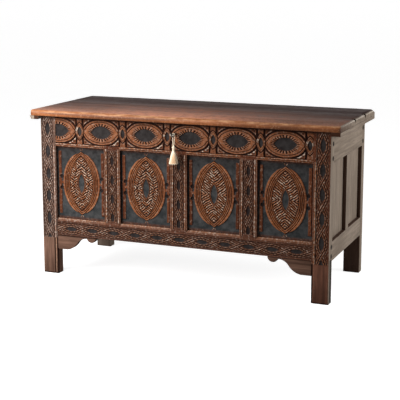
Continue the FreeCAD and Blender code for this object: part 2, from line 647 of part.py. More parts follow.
def tassel():
    """The tassel's round head, bound neck and flaring skirt."""
    neck_z = TASSEL_TOP - TASSEL_HEAD_HEIGHT
    shoulder_z = neck_z - TASSEL_SHOULDER_DROP
    hem_z = TASSEL_TOP - TASSEL_LENGTH
    top = cord_point((0, TASSEL_TOP))
    cheek = cord_point((TASSEL_HEAD_RADIUS, (TASSEL_TOP + neck_z) / 2))
    neck = cord_point((TASSEL_NECK_RADIUS, neck_z))
    shoulder = cord_point((TASSEL_SHOULDER_RADIUS, shoulder_z))
    hem = cord_point((TASSEL_RADIUS, hem_z))
    foot = cord_point((0, hem_z))
    edges = [Part.Arc(top, cheek, neck), Part.LineSegment(neck, shoulder), Part.LineSegment(shoulder, hem),
             Part.LineSegment(hem, foot), Part.LineSegment(foot, top)]
    outline = Part.Wire([edge.toShape() for edge in edges])
    return placed(Part.Face(outline).revolve(top, Z_AXIS, 360), LOCK_PLACE)


def nail(place, gap=0.0):
    """A forged nail from a place on a surface, or with a gap the hole for its shank."""
    point, direction, length = place
    shank = rod(point, direction, NAIL_RADIUS + gap, length + gap)
    if gap:
        return shank
    head = rod(point, -direction, NAIL_HEAD_RADIUS, NAIL_HEAD_HEIGHT)
    return shank.fuse(head).removeSplitter()


def hinge_centres():
    """The places of the two hinges along the back."""
    return about(0, CARCASS_WIDTH - 2 * HINGE_INSET)


def lid_nail_places():
    """Where the nails go up into the lid: cleats, straps and the lock's staple."""
    places = []
    reach = BACK_Y - LID_FRONT_Y - 2 * CLEAT_NAIL_MARGIN
    for side in (-1, 1):
        x = side * (LID_HALF_LENGTH - CLEAT_WIDTH / 2)
        for i in range(CLEAT_NAILS):
            y = LID_FRONT_Y + CLEAT_NAIL_MARGIN + i * reach / (CLEAT_NAILS - 1)
            places.append((Vector(x, y, LID_UNDERSIDE - CLEAT_HEIGHT), Z_AXIS, CLEAT_NAIL_LENGTH))
    for centre in hinge_centres():
        for share in STRAP_NAIL_SHARES:
            point = Vector(centre, BACK_Y - share * STRAP_LENGTH, LID_UNDERSIDE - HINGE_IRON)
            places.append((point, Z_AXIS, NAIL_LENGTH))
    middle = Vector(KEY_OFFSET + STAPLE_START + STAPLE_WIDTH / 2, FRONT_INNER_Y + sum(BOLT_Y) / 2,
                    LID_UNDERSIDE - STAPLE_PLATE_IRON)
    for x in about(0, STAPLE_NAIL_SPREAD):
        places.append((middle + X_AXIS * x, Z_AXIS, NAIL_LENGTH))
    return places


def carcass_nail_places():
    """Where the nails go into the carcass: hinge leaves, floor boards and the lock's ears."""
    places = []
    for centre in hinge_centres():
        for x in about(centre, LEAF_NAIL_SPREAD):
            for share in LEAF_NAIL_SHARES:
                point = Vector(x, BACK_Y + HINGE_IRON, PIVOT_Z - share * LEAF_HEIGHT)
                places.append((point, -Y_AXIS, NAIL_LENGTH))
    for low, high in floor_spans():
        for x in about((low + high) / 2, (high - low) / 2):
            point = Vector(x, BACK_INNER_Y + FLOOR_REBATE / 2, FLOOR[0])
            places.append((point, Z_AXIS, FLOOR_NAIL_LENGTH))
    for x in about(KEY_OFFSET, CASE_WIDTH + EAR_WIDTH):
        for z in about(KEY_HEIGHT, EAR_NAIL_SPREAD):
            places.append((Vector(x, FRONT_INNER_Y + CASE_WALL, z), -Y_AXIS, NAIL_LENGTH))
    return places


def timber():
    """Every wooden piece by name, before pegs and nails are fitted."""
    pieces = stiles()
    pieces.update(FRONT.pieces("front", ["front_muntin_left", "front_muntin_centre", "front_muntin_right"],
                               [f"front_panel_{i}" for i in range(1, FRONT_MUNTINS + 2)]))
    pieces.update(BACK.pieces("back", ["back_muntin_right", "back_muntin_left"],
                              ["back_panel_right", "back_panel_centre", "back_panel_left"]))
    pieces.update(RIGHT_END.pieces("right_end", ["right_end_muntin"],
                                   ["right_end_panel_front", "right_end_panel_rear"]))
    pieces.update(LEFT_END.pieces("left_end", ["left_end_muntin"],
                                  ["left_end_panel_rear", "left_end_panel_front"]))
    groove, rebate = floor_seats()
    pieces["front_bottom_rail"] = pieces["front_bottom_rail"].cut(groove)
    pieces["back_bottom_rail"] = pieces["back_bottom_rail"].cut(rebate)
    pieces["front_top_rail"] = pieces["front_top_rail"].cut(keyhole())
    pieces["back_top_rail"] = pieces["back_top_rail"].cut([strap_notch(centre) for centre in hinge_centres()])
    pieces["bracket_right"] = bracket()
    pieces["bracket_left"] = bracket().mirror(Vector(0, 0, 0), X_AXIS)
    pieces.update(floor_boards())
    pieces.update(lid_boards())
    pieces["lid_cleat_left"] = cleat(-1)
    pieces["lid_cleat_right"] = cleat(1)
    return pieces


def ironwork():
    """Hinges, lock, key and tassel by name."""
    pieces = {"lock_case": lock_case(), "lock_bolt": lock_bolt(), "lock_spring": lock_spring(),
              "lid_staple": lid_staple(), "key": key(), "tassel_cord": tassel_cord(), "tassel": tassel()}
    for centre, word in zip(hinge_centres(), ("left", "right")):
        pieces[f"hinge_strap_{word}"] = hinge_strap(centre)
        pieces[f"hinge_leaf_{word}"] = hinge_leaf(centre)
        pieces[f"hinge_pin_{word}"] = hinge_pin(centre)
    return pieces


def fasteners(gap=0.0):
    """The pegs and nails by group, or with a gap the holes for them."""
    return {
        "front_pegs": FRONT.pegs(gap),
        "back_pegs": BACK.pegs(gap),
        "end_pegs": LEFT_END.pegs(gap) + RIGHT_END.pegs(gap),
        "lid_nails": [nail(place, gap) for place in lid_nail_places()],
        "carcass_nails": [nail(place, gap) for place in carcass_nail_places()],
    }


def drilled(shape, holes):
    """A piece with every hole that reaches it."""
    meeting = [hole for hole in holes if shape.BoundBox.intersect(hole.BoundBox)]
    return shape.cut(meeting) if meeting else shape


def main():
    """Build every piece, fit the fasteners and write one file per piece."""
    os.makedirs("parts", exist_ok=True)
    holes = [hole for group in fasteners(FASTENER_GAP).values() for hole in group]
    pieces = {name: drilled(shape, holes) for name, shape in {**timber(), **ironwork()}.items()}
    pieces.update((name, Part.makeCompound(group)) for name, group in fasteners().items())
    for name, shape in pieces.items():
        shape.exportStep(f"parts/{name}.step")
    print(f"{len(pieces)} pieces")


main()
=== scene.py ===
"""Looks of a joined oak coffer: carved front, worn boards, forged ironwork and a silk tassel."""

import json
import logging
import math
from dataclasses import dataclass, field
from enum import Enum

import bmesh
import bpy
import numpy as np
from mathutils import Matrix, Vector


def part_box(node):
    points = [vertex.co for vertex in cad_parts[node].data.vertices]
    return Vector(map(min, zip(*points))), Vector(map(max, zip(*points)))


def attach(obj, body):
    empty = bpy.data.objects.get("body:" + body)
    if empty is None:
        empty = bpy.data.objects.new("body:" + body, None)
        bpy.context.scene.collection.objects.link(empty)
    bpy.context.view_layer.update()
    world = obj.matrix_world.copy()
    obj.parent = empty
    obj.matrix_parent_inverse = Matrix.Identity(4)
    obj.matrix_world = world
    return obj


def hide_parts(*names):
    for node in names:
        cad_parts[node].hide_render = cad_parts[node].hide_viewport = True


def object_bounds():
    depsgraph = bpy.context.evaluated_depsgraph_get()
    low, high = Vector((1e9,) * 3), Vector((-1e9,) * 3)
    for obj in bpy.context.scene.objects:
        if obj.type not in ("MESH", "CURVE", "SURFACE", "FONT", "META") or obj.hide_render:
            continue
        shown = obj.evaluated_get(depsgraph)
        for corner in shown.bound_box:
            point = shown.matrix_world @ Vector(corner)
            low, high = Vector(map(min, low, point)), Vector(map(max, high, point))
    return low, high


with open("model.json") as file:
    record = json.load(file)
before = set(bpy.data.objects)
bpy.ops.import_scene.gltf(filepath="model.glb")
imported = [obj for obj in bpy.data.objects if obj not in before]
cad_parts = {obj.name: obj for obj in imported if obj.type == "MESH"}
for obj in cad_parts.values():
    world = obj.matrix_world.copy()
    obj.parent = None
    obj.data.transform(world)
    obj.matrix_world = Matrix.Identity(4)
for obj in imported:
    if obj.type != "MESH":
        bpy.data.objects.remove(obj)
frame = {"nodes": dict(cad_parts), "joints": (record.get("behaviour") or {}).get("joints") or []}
CAD_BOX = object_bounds()

Array = np.ndarray
BMesh = bmesh.types.BMesh
BMVert = bmesh.types.BMVert
BMEdge = bmesh.types.BMEdge
Material = bpy.types.Material
Mesh = bpy.types.Mesh
Piece = bpy.types.Object
Socket = bpy.types.NodeSocket
Colour = tuple[float, float, float]
Place = tuple[float, float, float]
Pair = tuple[float, float]
Face = tuple[float, float, float, float]
log = logging.getLogger("coffer")

# Places that several pieces share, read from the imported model
KEY_AXIS = next(Vector(joint["pos_m"]) for joint in frame["joints"] if joint["name"] == "key_turn")
CORD_PLANE = next(joint["pos_m"][1] for joint in frame["joints"] if joint["name"] == "tassel_swing")
FRONT_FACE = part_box("front_top_rail")[0].y
LID_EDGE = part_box("lid_front_board")[0].y

# The mark on a carved skin's points, and what the carving leaves on each besides its depth: dirt and painted
# shade, ground, worn crests and bare wood with painted highlights
SKIN_MARK = "skin"
STAINS = ("dirt", "ground", "crest", "glint")

# Words that tell apart pieces of one kind
SIDES = ("left", "right")
THIRDS = ("left", "centre", "right")

# Fine measures that cuts and meshes share
SOFT = 0.0014
CUT_DIRT = (0.05, 0.75)
WELD = 1e-6
FINE_WELD = 1e-7
LEAST = 1e-6
FLAT = math.radians(1.0)
ACROSS = Matrix.Rotation(math.radians(90), 4, "X")
ENDWAYS = Matrix.Rotation(math.radians(90), 4, "Y")
PLAIN_SCALE = (1.0, 1.0, 1.0)


class Grain(Enum):
    """The axis that a board's grain runs along."""

    ALONG = 0
    DEEP = 1
    UPRIGHT = 2


class Cut(Enum):
    """What becomes of a mesh that is cut along a plane."""

    PARTED = 0
    CLOSED = 1
    CLOSED_IN_TRIANGLES = 2


class SkinPoint(Enum):
    """The points of a carved skin, as they are marked while it is made."""

    FACE = 1
    WALL = 2


class StileFinish(Enum):
    """The finishes of a stile, in the order of its materials."""

    CARVED = 0
    END = 1
    LEG = 2
    LEG_SIDE = 3


class PegFinish(Enum):
    """The finishes of the end pegs, in the order of their materials."""

    DARK = 0
    PLAIN = 1


class LidFinish(Enum):
    """The finishes of a lid board, in the order of its materials."""

    TOP = 0
    NOSE = 1
    END = 2
    CHIP = 3


def ease(value: Array, start: float, end: float) -> Array:
    """Rise smoothly from 0 at the start to 1 at the end."""
    share = np.clip((value - start) / (end - start), 0, 1)
    return share * share * (3 - 2 * share)


def fall(value: Array, start: float, end: float) -> Array:
    """Fall smoothly from 1 at the start to 0 at the end."""
    return 1 - ease(value, start, end)


def blend(low: float, high: float, share: Array | float) -> Array | float:
    """Go from a low value to a high one by a share."""
    return low + (high - low) * share


def inside(distance: Array, lead: float = 0.0) -> Array:
    """A mask of what lies inside an outline, soft at its rim and begun a lead before it."""
    return ease(distance, -lead, SOFT)


def lens(across: Array, along: Array, half_width: float, half_length: float) -> Array:
    """Distances inside a pointed oval made of two arcs, from its half width and half length."""
    radius = (half_width ** 2 + half_length ** 2) / (2 * half_width)
    return radius - np.hypot(np.abs(across) + radius - half_width, along)


def oval(across: Array, along: Array, half_width: float, half_length: float) -> Array:
    """Measure how far points lie inside an ellipse.

    Args:
        across: Places across the ellipse.
        along: Places along the ellipse.
        half_width: Half its width.
        half_length: Half its length.

    Returns:
        Distances, positive inside and true near the rim.
    """
    reach = np.hypot(across / half_width, along / half_length)
    slope = np.hypot(across / half_width ** 2, along / half_length ** 2) / np.maximum(reach, LEAST)
    return (1 - reach) / np.maximum(slope, LEAST)


def wobble(across: Array, along: Array, seed: float) -> Array:
    """Give the slow unevenness of handwork.

    Args:
        across: Places in metres.
        along: Places in metres.
        seed: Shifts the pattern from piece to piece.

    Returns:
        Values between about -1 and 1.
    """
    waves = ((105, 61, 1.0), (-83, 152, 0.7), (223, -190, 0.4), (31, 27, 0.9))
    parts = [size * np.sin(p * across + q * along + seed * (i + 1)) for i, (p, q, size) in enumerate(waves)]
    return sum(parts) / sum(size for _, _, size in waves)


@dataclass(frozen=True)
class Line:
    """A V-tool line: how far inside an outline it runs, how wide it is and how deep."""

    inset: float
    width: float
    depth: float


@dataclass
class Relief:
    """A carved face as a field of points: how deep each is cut, and how it is coloured."""

    across: Array
    up: Array
    depth: Array = field(init=False)
    ground: Array = field(init=False)
    crest: Array = field(init=False)
    glint: Array = field(init=False)
    dirt: Array = field(init=False)

    def __post_init__(self) -> None:
        """Start from a flat, clean face."""
        for name in ("depth", *STAINS):
            setattr(self, name, np.zeros_like(self.across))

    def sink(self, mask: Array, depth: float, dirt: float = 0.0) -> None:
        """Cut the masked points down to a depth, and darken them with dirt, or with painted shade where the
        cut stands for a deep hole.
        """
        self.depth = np.maximum(self.depth, mask * depth)
        self.soil_and_shade(mask * dirt)

    def stain(self, mask: Array) -> None:
        """Darken the masked points as painted ground."""
        self.ground = np.maximum(self.ground, mask)

    def rub(self, mask: Array, glint: float = 0.0) -> None:
        """Brighten the masked points as worn crests, some of them bare with a painted highlight."""
        self.crest = np.maximum(self.crest, mask)
        self.glint = np.maximum(self.glint, mask * glint)

    def soil_and_shade(self, mask: Array) -> None:
        """Darken the masked points: dirt in cuts and hollows, painted shade where light falls short."""
        self.dirt = np.maximum(self.dirt, mask)

    def vee(self, distance: Array, line: Line, mask: Array | float = 1.0) -> None:
        """Cut a V-tool line, dirty at its bottom.

        Args:
            distance: Distance inside the outline that the line follows.
            line: Its place and size.
            mask: Where the line is cut.
        """
        cut = np.clip(1 - np.abs(distance - line.inset) / (line.width / 2), 0, 1) * mask
        self.sink(cut, line.depth)
        self.soil_and_shade(ease(cut, *CUT_DIRT))

    def lay(self, body: Array, top: Array | float, crest: Array | float, glint: Array | float = 0.0) -> None:
        """Lay a raised body over what is cut so far.

        Args:
            body: 1 where the body covers the face.
            top: Depth of its upper surface.
            crest: How bright it is worn.
            glint: How bare it is worn, with a painted highlight.
        """
        self.depth = body * top + (1 - body) * self.depth
        self.dirt = (1 - body) * self.dirt
        self.ground = (1 - body) * self.ground
        self.crest = body * crest + (1 - body) * self.crest
        self.glint = body * glint + (1 - body) * self.glint

    def hollow(self, mask: Array, depth: float, dirt: float = 0.0) -> None:
        """Sink a painted hollow through what is cut so far.

        Args:
            mask: Where the hollow is.
            depth: How deep it is.
            dirt: How dirty it is.
        """
        self.lay(mask, depth, 0.0)
        self.stain(mask)
        self.soil_and_shade(dirt * mask)

    def round_over(self, edge: Array, radius: float, steepest: float = 0.98) -> None:
        """Wear down an arris, by the distance from the board's edge and the wear's radius."""
        past = np.clip(1 - edge / radius, 0, 1)
        self.depth = self.depth + radius * (1 - np.sqrt(1 - np.minimum(past, steepest) ** 2))


@dataclass(frozen=True)
class Guilloche:
    """A chain of dark eyes between two reeded strands that pass over and under each other."""

    pitch: float
    reach: float
    strand: float
    eye_half: Pair
    reeds: int = 2
    eye_depth: float = 0.0045
    eye_dirt: float = 0.5
    eye_line: Line = Line(-0.001, 0.003, 0.0032)
    floor_depth: float = 0.0032
    floor_dirt: float = 0.15
    flank_rise: float = 0.0012
    flank_worn: float = 0.2
    # A weaker painted highlight on the flank lines
    flank_bare_and_glint: float = 0.15
    flank_dirt: float = 0.55
    flank_span: Pair = (0.3, 0.9)
    reed_depth: float = 0.0022
    reed_dirt: Pair = (0.3, 0.7)
    nick_pitch: float = 0.015
    nick_lean: float = 0.9
    nick_stray: float = 0.004
    nick_span: Pair = (-0.9, 0.3)
    nicked: float = 0.55
    worn: float = 0.75
    # Bare wood with a painted highlight on the strands' reeds, most at the crossings
    bare_and_glint: float = 0.25
    crossing_bare_and_glint: float = 0.5
    crossing: float = 0.5
    dip: float = 0.0016

    def reeding(self, distance: Array) -> Array:
        """The crests of the lines that run along a strand, by distance from its middle."""
        return np.cos(np.pi * (self.reeds * distance / self.strand + (self.reeds - 1) / 2)) ** 2

    def carve(self, relief: Relief, along: Array, across: Array, zone: Array) -> None:
        """Cut the chain into a face.

        Args:
            relief: The face.
            along: Places along the chain, zero at a crossing.
            across: Places across the chain, zero at its middle.
            zone: Where the chain is cut.
        """
        chain = Relief(along, across)
        turn = np.pi * along / self.pitch
        swing = np.sin(turn)
        steep = np.sqrt(1 + (self.reach * np.pi / self.pitch * np.cos(turn)) ** 2)
        flank = self.reeding((np.abs(across) - self.reach * np.abs(swing)) / steep)
        chain.lay(np.ones_like(along), self.floor_depth - self.flank_rise * flank, self.flank_worn * flank,
                  self.flank_bare_and_glint * flank ** 2)
        chain.soil_and_shade(self.floor_dirt + self.flank_dirt * ease(1 - flank, *self.flank_span))
        eye = lens(across, along - (np.floor(along / self.pitch) + 0.5) * self.pitch, *self.eye_half)
        chain.hollow(inside(eye, SOFT / 2), self.eye_depth, self.eye_dirt)
        chain.vee(eye, self.eye_line)
        near = np.exp(-(swing / self.crossing) ** 2)
        over = np.where(np.round(along / self.pitch) % 2 == 0, 1, -1)
        for layer in (-1, 1):
            distance = (across - layer * over * self.reach * swing) / steep
            body = fall(np.abs(distance), self.strand / 2 - SOFT, self.strand / 2)
            stray = self.nick_stray * wobble(along, across, layer)
            run = along + self.nick_lean * layer * over * distance + stray
            nick = ease(np.cos(2 * np.pi * run / self.nick_pitch), *self.nick_span)
            ridge = self.reeding(distance) * np.maximum(near, blend(self.nicked, 1.0, nick))
            top = self.reed_depth * (1 - ridge) + (self.dip * near if layer < 0 else 0)
            chain.lay(body, top, self.worn * ridge, (self.bare_and_glint + self.crossing_bare_and_glint * near) * ridge)
            chain.soil_and_shade(body * ease(1 - ridge, *self.reed_dirt))
        for name in ("depth", *STAINS):
            mixed = zone * getattr(chain, name) + (1 - zone) * getattr(relief, name)
            setattr(relief, name, mixed)


@dataclass(frozen=True)
class Noise:
    """The scale and the character of a fractal noise."""

    scale: float
    detail: float = 3.0
    rough: float = 0.5


class Nodes:
    """A node tree, with short calls for the nodes that finishes and studio share."""

    def __init__(self, tree: bpy.types.NodeTree) -> None:
        """Keep the tree that the nodes go into."""
        self.tree = tree

    def node(self, kind: str, inputs: dict | None = None, **settings: object) -> bpy.types.Node:
        """Add a node.

        Args:
            kind: The node's type.
            inputs: Values or sockets for its inputs, by name or place.
            settings: Its properties.

        Returns:
            The node.
        """
        made = self.tree.nodes.new(kind)
        for key, value in settings.items():
            setattr(made, key, value)
        for key, value in (inputs or {}).items():
            self.feed(made.inputs[key], value)
        return made

    def feed(self, socket: Socket, value: object) -> None:
        """Link a socket to an input, or set its value.

        Args:
            socket: The input.
            value: A socket or a value; a colour gets its alpha.
        """
        if isinstance(value, Socket):
            self.tree.links.new(value, socket)
        else:
            socket.default_value = (*value, 1.0) if socket.type == "RGBA" else value

    def span(self, value: Socket, low: float, high: float, start: float = 0.0, end: float = 1.0) -> Socket:
        """Map a value from one span to another, held at the ends."""
        inputs = {"Value": value, "From Min": low, "From Max": high, "To Min": start, "To Max": end}
        return self.node("ShaderNodeMapRange", inputs).outputs["Result"]

    def maths(self, operation: str, first: object, second: object) -> Socket:
        """Two values combined."""
        return self.node("ShaderNodeMath", {0: first, 1: second}, operation=operation).outputs[0]


class Shading(Nodes):
    """A material's nodes, with short calls for the ones that the finishes share."""

    def __init__(self, name: str) -> None:
        """Start from a plain material.

        Args:
            name: The material's name.
        """
        self.material = bpy.data.materials.new(name)
        self.material.use_nodes = True
        super().__init__(self.material.node_tree)
        self.shader = self.tree.nodes["Principled BSDF"]

    def coords(self, scale: Place = PLAIN_SCALE) -> Socket:
        """Object coordinates, stretched by a scale on each axis."""
        source = self.node("ShaderNodeTexCoord").outputs["Object"]
        return self.node("ShaderNodeMapping", {"Vector": source, "Scale": scale}).outputs["Vector"]

    def grain(self, axis: Grain, stretch: float) -> Socket:
        """Coordinates that are drawn out along the grain."""
        return self.coords(tuple(stretch if i == axis.value else 1.0 for i in range(3)))

    def noise(self, coords: Socket, noise: Noise) -> Socket:
        """Fractal noise as a value."""
        inputs = {"Vector": coords, "Scale": noise.scale, "Detail": noise.detail, "Roughness": noise.rough}
        return self.node("ShaderNodeTexNoise", inputs).outputs["Fac"]

    def attribute(self, name: str) -> Socket:
        """A value that the mesh carries."""
        return self.node("ShaderNodeAttribute", attribute_name=name).outputs["Fac"]

    def mix(self, share: object, first: object, second: object) -> Socket:
        """Two colours mixed by a share."""
        return self.node("ShaderNodeMix", {0: share, 6: first, 7: second}, data_type="RGBA").outputs[2]

    def bump(self, height: Socket, distance: float, strength: float) -> None:
        """Raise the surface's fine detail by a height."""
        inputs = {"Height": height, "Distance": distance, "Strength": strength}
        self.feed(self.shader.inputs["Normal"], self.node("ShaderNodeBump", inputs).outputs["Normal"])

    def shine(self, colour: object, roughness: object, **sockets: object) -> Material:
        """Set the shader's colour, roughness and other named sockets.

        Args:
            colour: A socket, or a colour.
            roughness: A socket, or a number.
            sockets: Other inputs, with underscores for spaces.

        Returns:
            The finished material.
        """
        for key, value in {"Base_Color": colour, "Roughness": roughness, **sockets}.items():
            self.feed(self.shader.inputs[key.replace("_", " ")], value)
        return self.material


@dataclass(frozen=True)
class OakFinish:
    """Old oak: colours from pore to worn crest, painted sheen and highlights, the stain in its cuts with
    painted shade, and its wax.
    """

    name: str
    tone: Colour
    shade: Colour
    crest: Colour
    glint: Colour = (0.5, 0.35, 0.25)
    # The colour of dirt in the cuts, also used for painted shade
    dirt: Colour = (0.014, 0.005, 0.003)
    ground: Colour = (0.0235, 0.0255, 0.026)
    faded: Colour = (0.055, 0.055, 0.055)
    faded_span: Pair = (0.35, 0.65)
    streaks: Noise = Noise(75.0, 6.0, 0.6)
    streak_stretch: float = 0.05
    streak_span: Pair = (0.36, 0.64)
    pores: Noise = Noise(520.0)
    pore_stretch: float = 0.03
    pore_span: Pair = (0.42, 0.34)
    patches: Noise = Noise(6.0)
    patch_span: tuple[float, ...] = (0.55, 0.3, 0.0, 0.55)
    rubs: Noise = Noise(45.0, 4.0, 0.6)
    rub_span: tuple[float, ...] = (0.3, 0.6, 0.35, 1.0)
    specks: Noise = Noise(120.0, 2.0)
    speck_stretch: float = 1.0
    bare_and_glint_span: Pair = (0.46, 0.68)
    flecks: Noise = Noise(115.0, 2.0, 0.6)
    dark_fleck: Pair = (0.46, 0.32)
    pale_fleck: Pair = (0.56, 0.7)
    mottle: float = 0.0
    # The lid's rear colour: partly the boards' own colour, partly a painted difference in sheen
    rear_tone_and_sheen: Colour | None = None
    rear_span: Pair = (-0.17, 0.09)
    rear_wander: tuple[float, ...] = (0.3, 0.7, -0.06, 0.06)
    fine_relief: Pair = (0.0005, 0.35)
    roughness: float = 0.4
    rough_span: Pair = (0.3, 0.7)
    rough_reach: Pair = (-0.08, 0.1)
    specular: float = 0.04

    def material(self, axis: Grain) -> Material:
        """Make the finish for boards whose grain runs along an axis.

        Args:
            axis: The grain's direction.

        Returns:
            The material, made once for each direction.
        """
        name = f"{self.name}_{axis.name.lower()}"
        known = bpy.data.materials.get(name)
        if known:
            return known
        shading = Shading(name)
        plain = shading.coords()
        streak = shading.noise(shading.grain(axis, self.streak_stretch), self.streaks)
        pore = shading.noise(shading.grain(axis, self.pore_stretch), self.pores)
        patch = shading.noise(plain, self.patches)
        rub = shading.noise(plain, self.rubs)
        tone = self.tone
        # The lid's rear is darker and greyer than its front, partly its own colour and partly a painted
        # difference in sheen
        if self.rear_tone_and_sheen:
            across = shading.node("ShaderNodeSeparateXYZ", {"Vector": plain}).outputs["Y"]
            wander = shading.maths("ADD", across, shading.span(patch, *self.rear_wander))
            tone = shading.mix(shading.span(wander, *self.rear_span), self.tone, self.rear_tone_and_sheen)
        colour = shading.mix(shading.span(streak, *self.streak_span), self.shade, tone)
        colour = shading.mix(shading.span(pore, *self.pore_span), colour, self.shade)
        colour = shading.mix(shading.span(patch, *self.patch_span), colour, self.shade)
        # Worn crests brighten the colour; on the lid the same mark is a painted sheen
        worn = shading.maths("MULTIPLY", shading.attribute("crest"), shading.span(rub, *self.rub_span))
        colour = shading.mix(worn, colour, self.crest)
        # Bare wood with a painted highlight, broken up by specks
        speck = shading.noise(shading.grain(axis, self.speck_stretch), self.specks)
        bare_and_glint = shading.maths("MULTIPLY", shading.attribute("glint"), shading.span(speck, *self.bare_and_glint_span))
        colour = shading.mix(bare_and_glint, colour, self.glint)
        if self.mottle:
            fleck = shading.noise(plain, self.flecks)
            colour = shading.mix(shading.span(fleck, *self.dark_fleck, 0.0, self.mottle), colour, self.dirt)
            colour = shading.mix(shading.span(fleck, *self.pale_fleck, 0.0, self.mottle), colour, self.glint)
        earth = shading.mix(shading.span(rub, *self.faded_span), self.ground, self.faded)
        colour = shading.mix(shading.attribute("ground"), colour, earth)
        # Dirt, and painted shade where the mesh carries it, darken the colour last
        colour = shading.mix(shading.attribute("dirt"), colour, self.dirt)
        shading.bump(shading.maths("ADD", streak, pore), *self.fine_relief)
        reach = [self.roughness + step for step in self.rough_reach]
        rough = shading.span(rub, *self.rough_span, *reach)
        return shading.shine(colour, rough, Specular_IOR_Level=self.specular)


CARVED_OAK = OakFinish("carved_oak", tone=(0.14, 0.046, 0.022), shade=(0.06, 0.018, 0.009),
                       crest=(0.27, 0.097, 0.039), glint=(0.56, 0.44, 0.35), mottle=0.3)
FADED_OAK = OakFinish("faded_oak", tone=(0.135, 0.054, 0.031), shade=(0.055, 0.021, 0.012),
                      crest=(0.26, 0.11, 0.055), glint=(0.58, 0.46, 0.38), mottle=0.3)
# Paler, greyer carved oak for the left stile: a painted sheen of the light from the left
SHEEN_PAINTED_OAK = OakFinish("greyed_oak", tone=(0.17, 0.098, 0.07), shade=(0.07, 0.037, 0.026),
                       crest=(0.3, 0.165, 0.115), glint=(0.64, 0.53, 0.46), mottle=0.35)
PANEL_OAK = OakFinish("panel_oak", tone=(0.155, 0.047, 0.019), shade=(0.065, 0.019, 0.009),
                      crest=(0.29, 0.097, 0.034), glint=(0.56, 0.42, 0.32), mottle=0.25)
LEG_OAK = OakFinish("leg_oak", tone=(0.24, 0.131, 0.09), shade=(0.095, 0.05, 0.034),
                    crest=(0.32, 0.175, 0.11))
RUSSET_OAK = OakFinish("russet_oak", tone=(0.225, 0.094, 0.058), shade=(0.085, 0.037, 0.024),
                       crest=(0.32, 0.15, 0.09))
# Near-black oak for the rear of the legs' outer sides
DARK_SIDE_OAK = OakFinish("smoked_oak", tone=(0.05, 0.042, 0.034), shade=(0.022, 0.018, 0.014),
                       crest=(0.1, 0.08, 0.06))
# Pale grey-beige, partly the boards' own colour and partly a painted sheen of the light at a grazing angle on
# the ends
PLAIN_OAK = OakFinish("plain_oak", tone=(0.29, 0.232, 0.182), shade=(0.165, 0.128, 0.098),
                      crest=(0.42, 0.36, 0.3), glint=(0.75, 0.66, 0.55), dirt=(0.045, 0.018, 0.01),
                      roughness=0.5)
# The lid's bright crest colour lies on the top near the front as a painted sheen
LID_OAK = OakFinish("lid_oak", tone=(0.205, 0.121, 0.097), shade=(0.045, 0.029, 0.026),
                    crest=(0.85, 0.36, 0.22), rear_tone_and_sheen=(0.09, 0.065, 0.06), streaks=Noise(26.0, 6.0, 0.6),
                    roughness=0.5, specular=0.005)
NOSE_OAK = OakFinish("lid_nose_oak", tone=(0.36, 0.122, 0.04), shade=(0.13, 0.043, 0.017),
                     crest=(0.4, 0.16, 0.065), glint=(0.66, 0.37, 0.2), specks=Noise(85.0, 2.0),
                     speck_stretch=0.2, bare_and_glint_span=(0.45, 0.62), mottle=0.22, roughness=0.35, specular=0.14)
PEG_OAK = OakFinish("peg_oak", tone=(0.012, 0.008, 0.006), shade=(0.006, 0.004, 0.003),
                    crest=(0.1, 0.06, 0.04), specular=0.03)


@dataclass(frozen=True)
class IronFinish:
    """Forged iron: dark scale, rubbed metal and pitting."""

    name: str
    scale: Colour
    rubbed: Colour
    roughness: float
    pits: Noise = Noise(700.0, 4.0, 0.6)
    hammer: Noise = Noise(140.0)
    rubbed_span: Pair = (0.4, 0.65)
    fine_relief: Pair = (0.0004, 0.5)
    rough_span: Pair = (0.3, 0.7)
    rough_reach: Pair = (0.12, -0.08)
    metallic: float = 0.85

    def material(self) -> Material:
        """Make the finish.

        Returns:
            The material.
        """
        shading = Shading(self.name)
        pits = shading.noise(shading.coords(), self.pits)
        hammered = shading.noise(shading.coords(), self.hammer)
        colour = shading.mix(shading.span(hammered, *self.rubbed_span), self.scale, self.rubbed)
        shading.bump(shading.maths("ADD", pits, hammered), *self.fine_relief)
        reach = [self.roughness + step for step in self.rough_reach]
        rough = shading.span(hammered, *self.rough_span, *reach)
        return shading.shine(colour, rough, Metallic=self.metallic)


WROUGHT_IRON = IronFinish("wrought_iron", scale=(0.03, 0.028, 0.027), rubbed=(0.11, 0.1, 0.095),
                          roughness=0.5)
KEY_IRON = IronFinish("key_iron", scale=(0.08, 0.07, 0.06), rubbed=(0.3, 0.27, 0.23), roughness=0.38)


@dataclass(frozen=True)
class SilkFinish:
    """Twisted silk: ivory threads with tan shadow between them, and a painted peach shade."""

    name: str
    light: Colour
    shadow: Colour
    peach: Colour
    twist: Noise = Noise(1600.0)
    twist_scale: Place = (1.0, 1.0, 0.08)
    twist_span: Pair = (0.35, 0.6)
    patches: Noise = Noise(160.0, 2.0)
    patch_span: tuple[float, ...] = (0.5, 0.3, 0.0, 0.35)
    fine_relief: Pair = (0.0003, 0.4)
    roughness: float = 0.6
    sheen: float = 0.35
    sheen_roughness: float = 0.4

    def material(self) -> Material:
        """Make the finish.

        Returns:
            The material.
        """
        shading = Shading(self.name)
        fibre = shading.noise(shading.coords(self.twist_scale), self.twist)
        patch = shading.noise(shading.coords(), self.patches)
        colour = shading.mix(shading.span(fibre, *self.twist_span), self.shadow, self.light)
        colour = shading.mix(shading.span(patch, *self.patch_span), colour, self.shadow)
        # A painted peach shade on the front of the skirt
        colour = shading.mix(shading.attribute("peach"), colour, self.peach)
        shading.bump(fibre, *self.fine_relief)
        return shading.shine(colour, self.roughness, Sheen_Weight=self.sheen,
                             Sheen_Roughness=self.sheen_roughness)


TASSEL_SILK = SilkFinish("tassel_silk", light=(0.97, 0.89, 0.72), shadow=(0.92, 0.73, 0.5),
                         peach=(0.9, 0.58, 0.33))


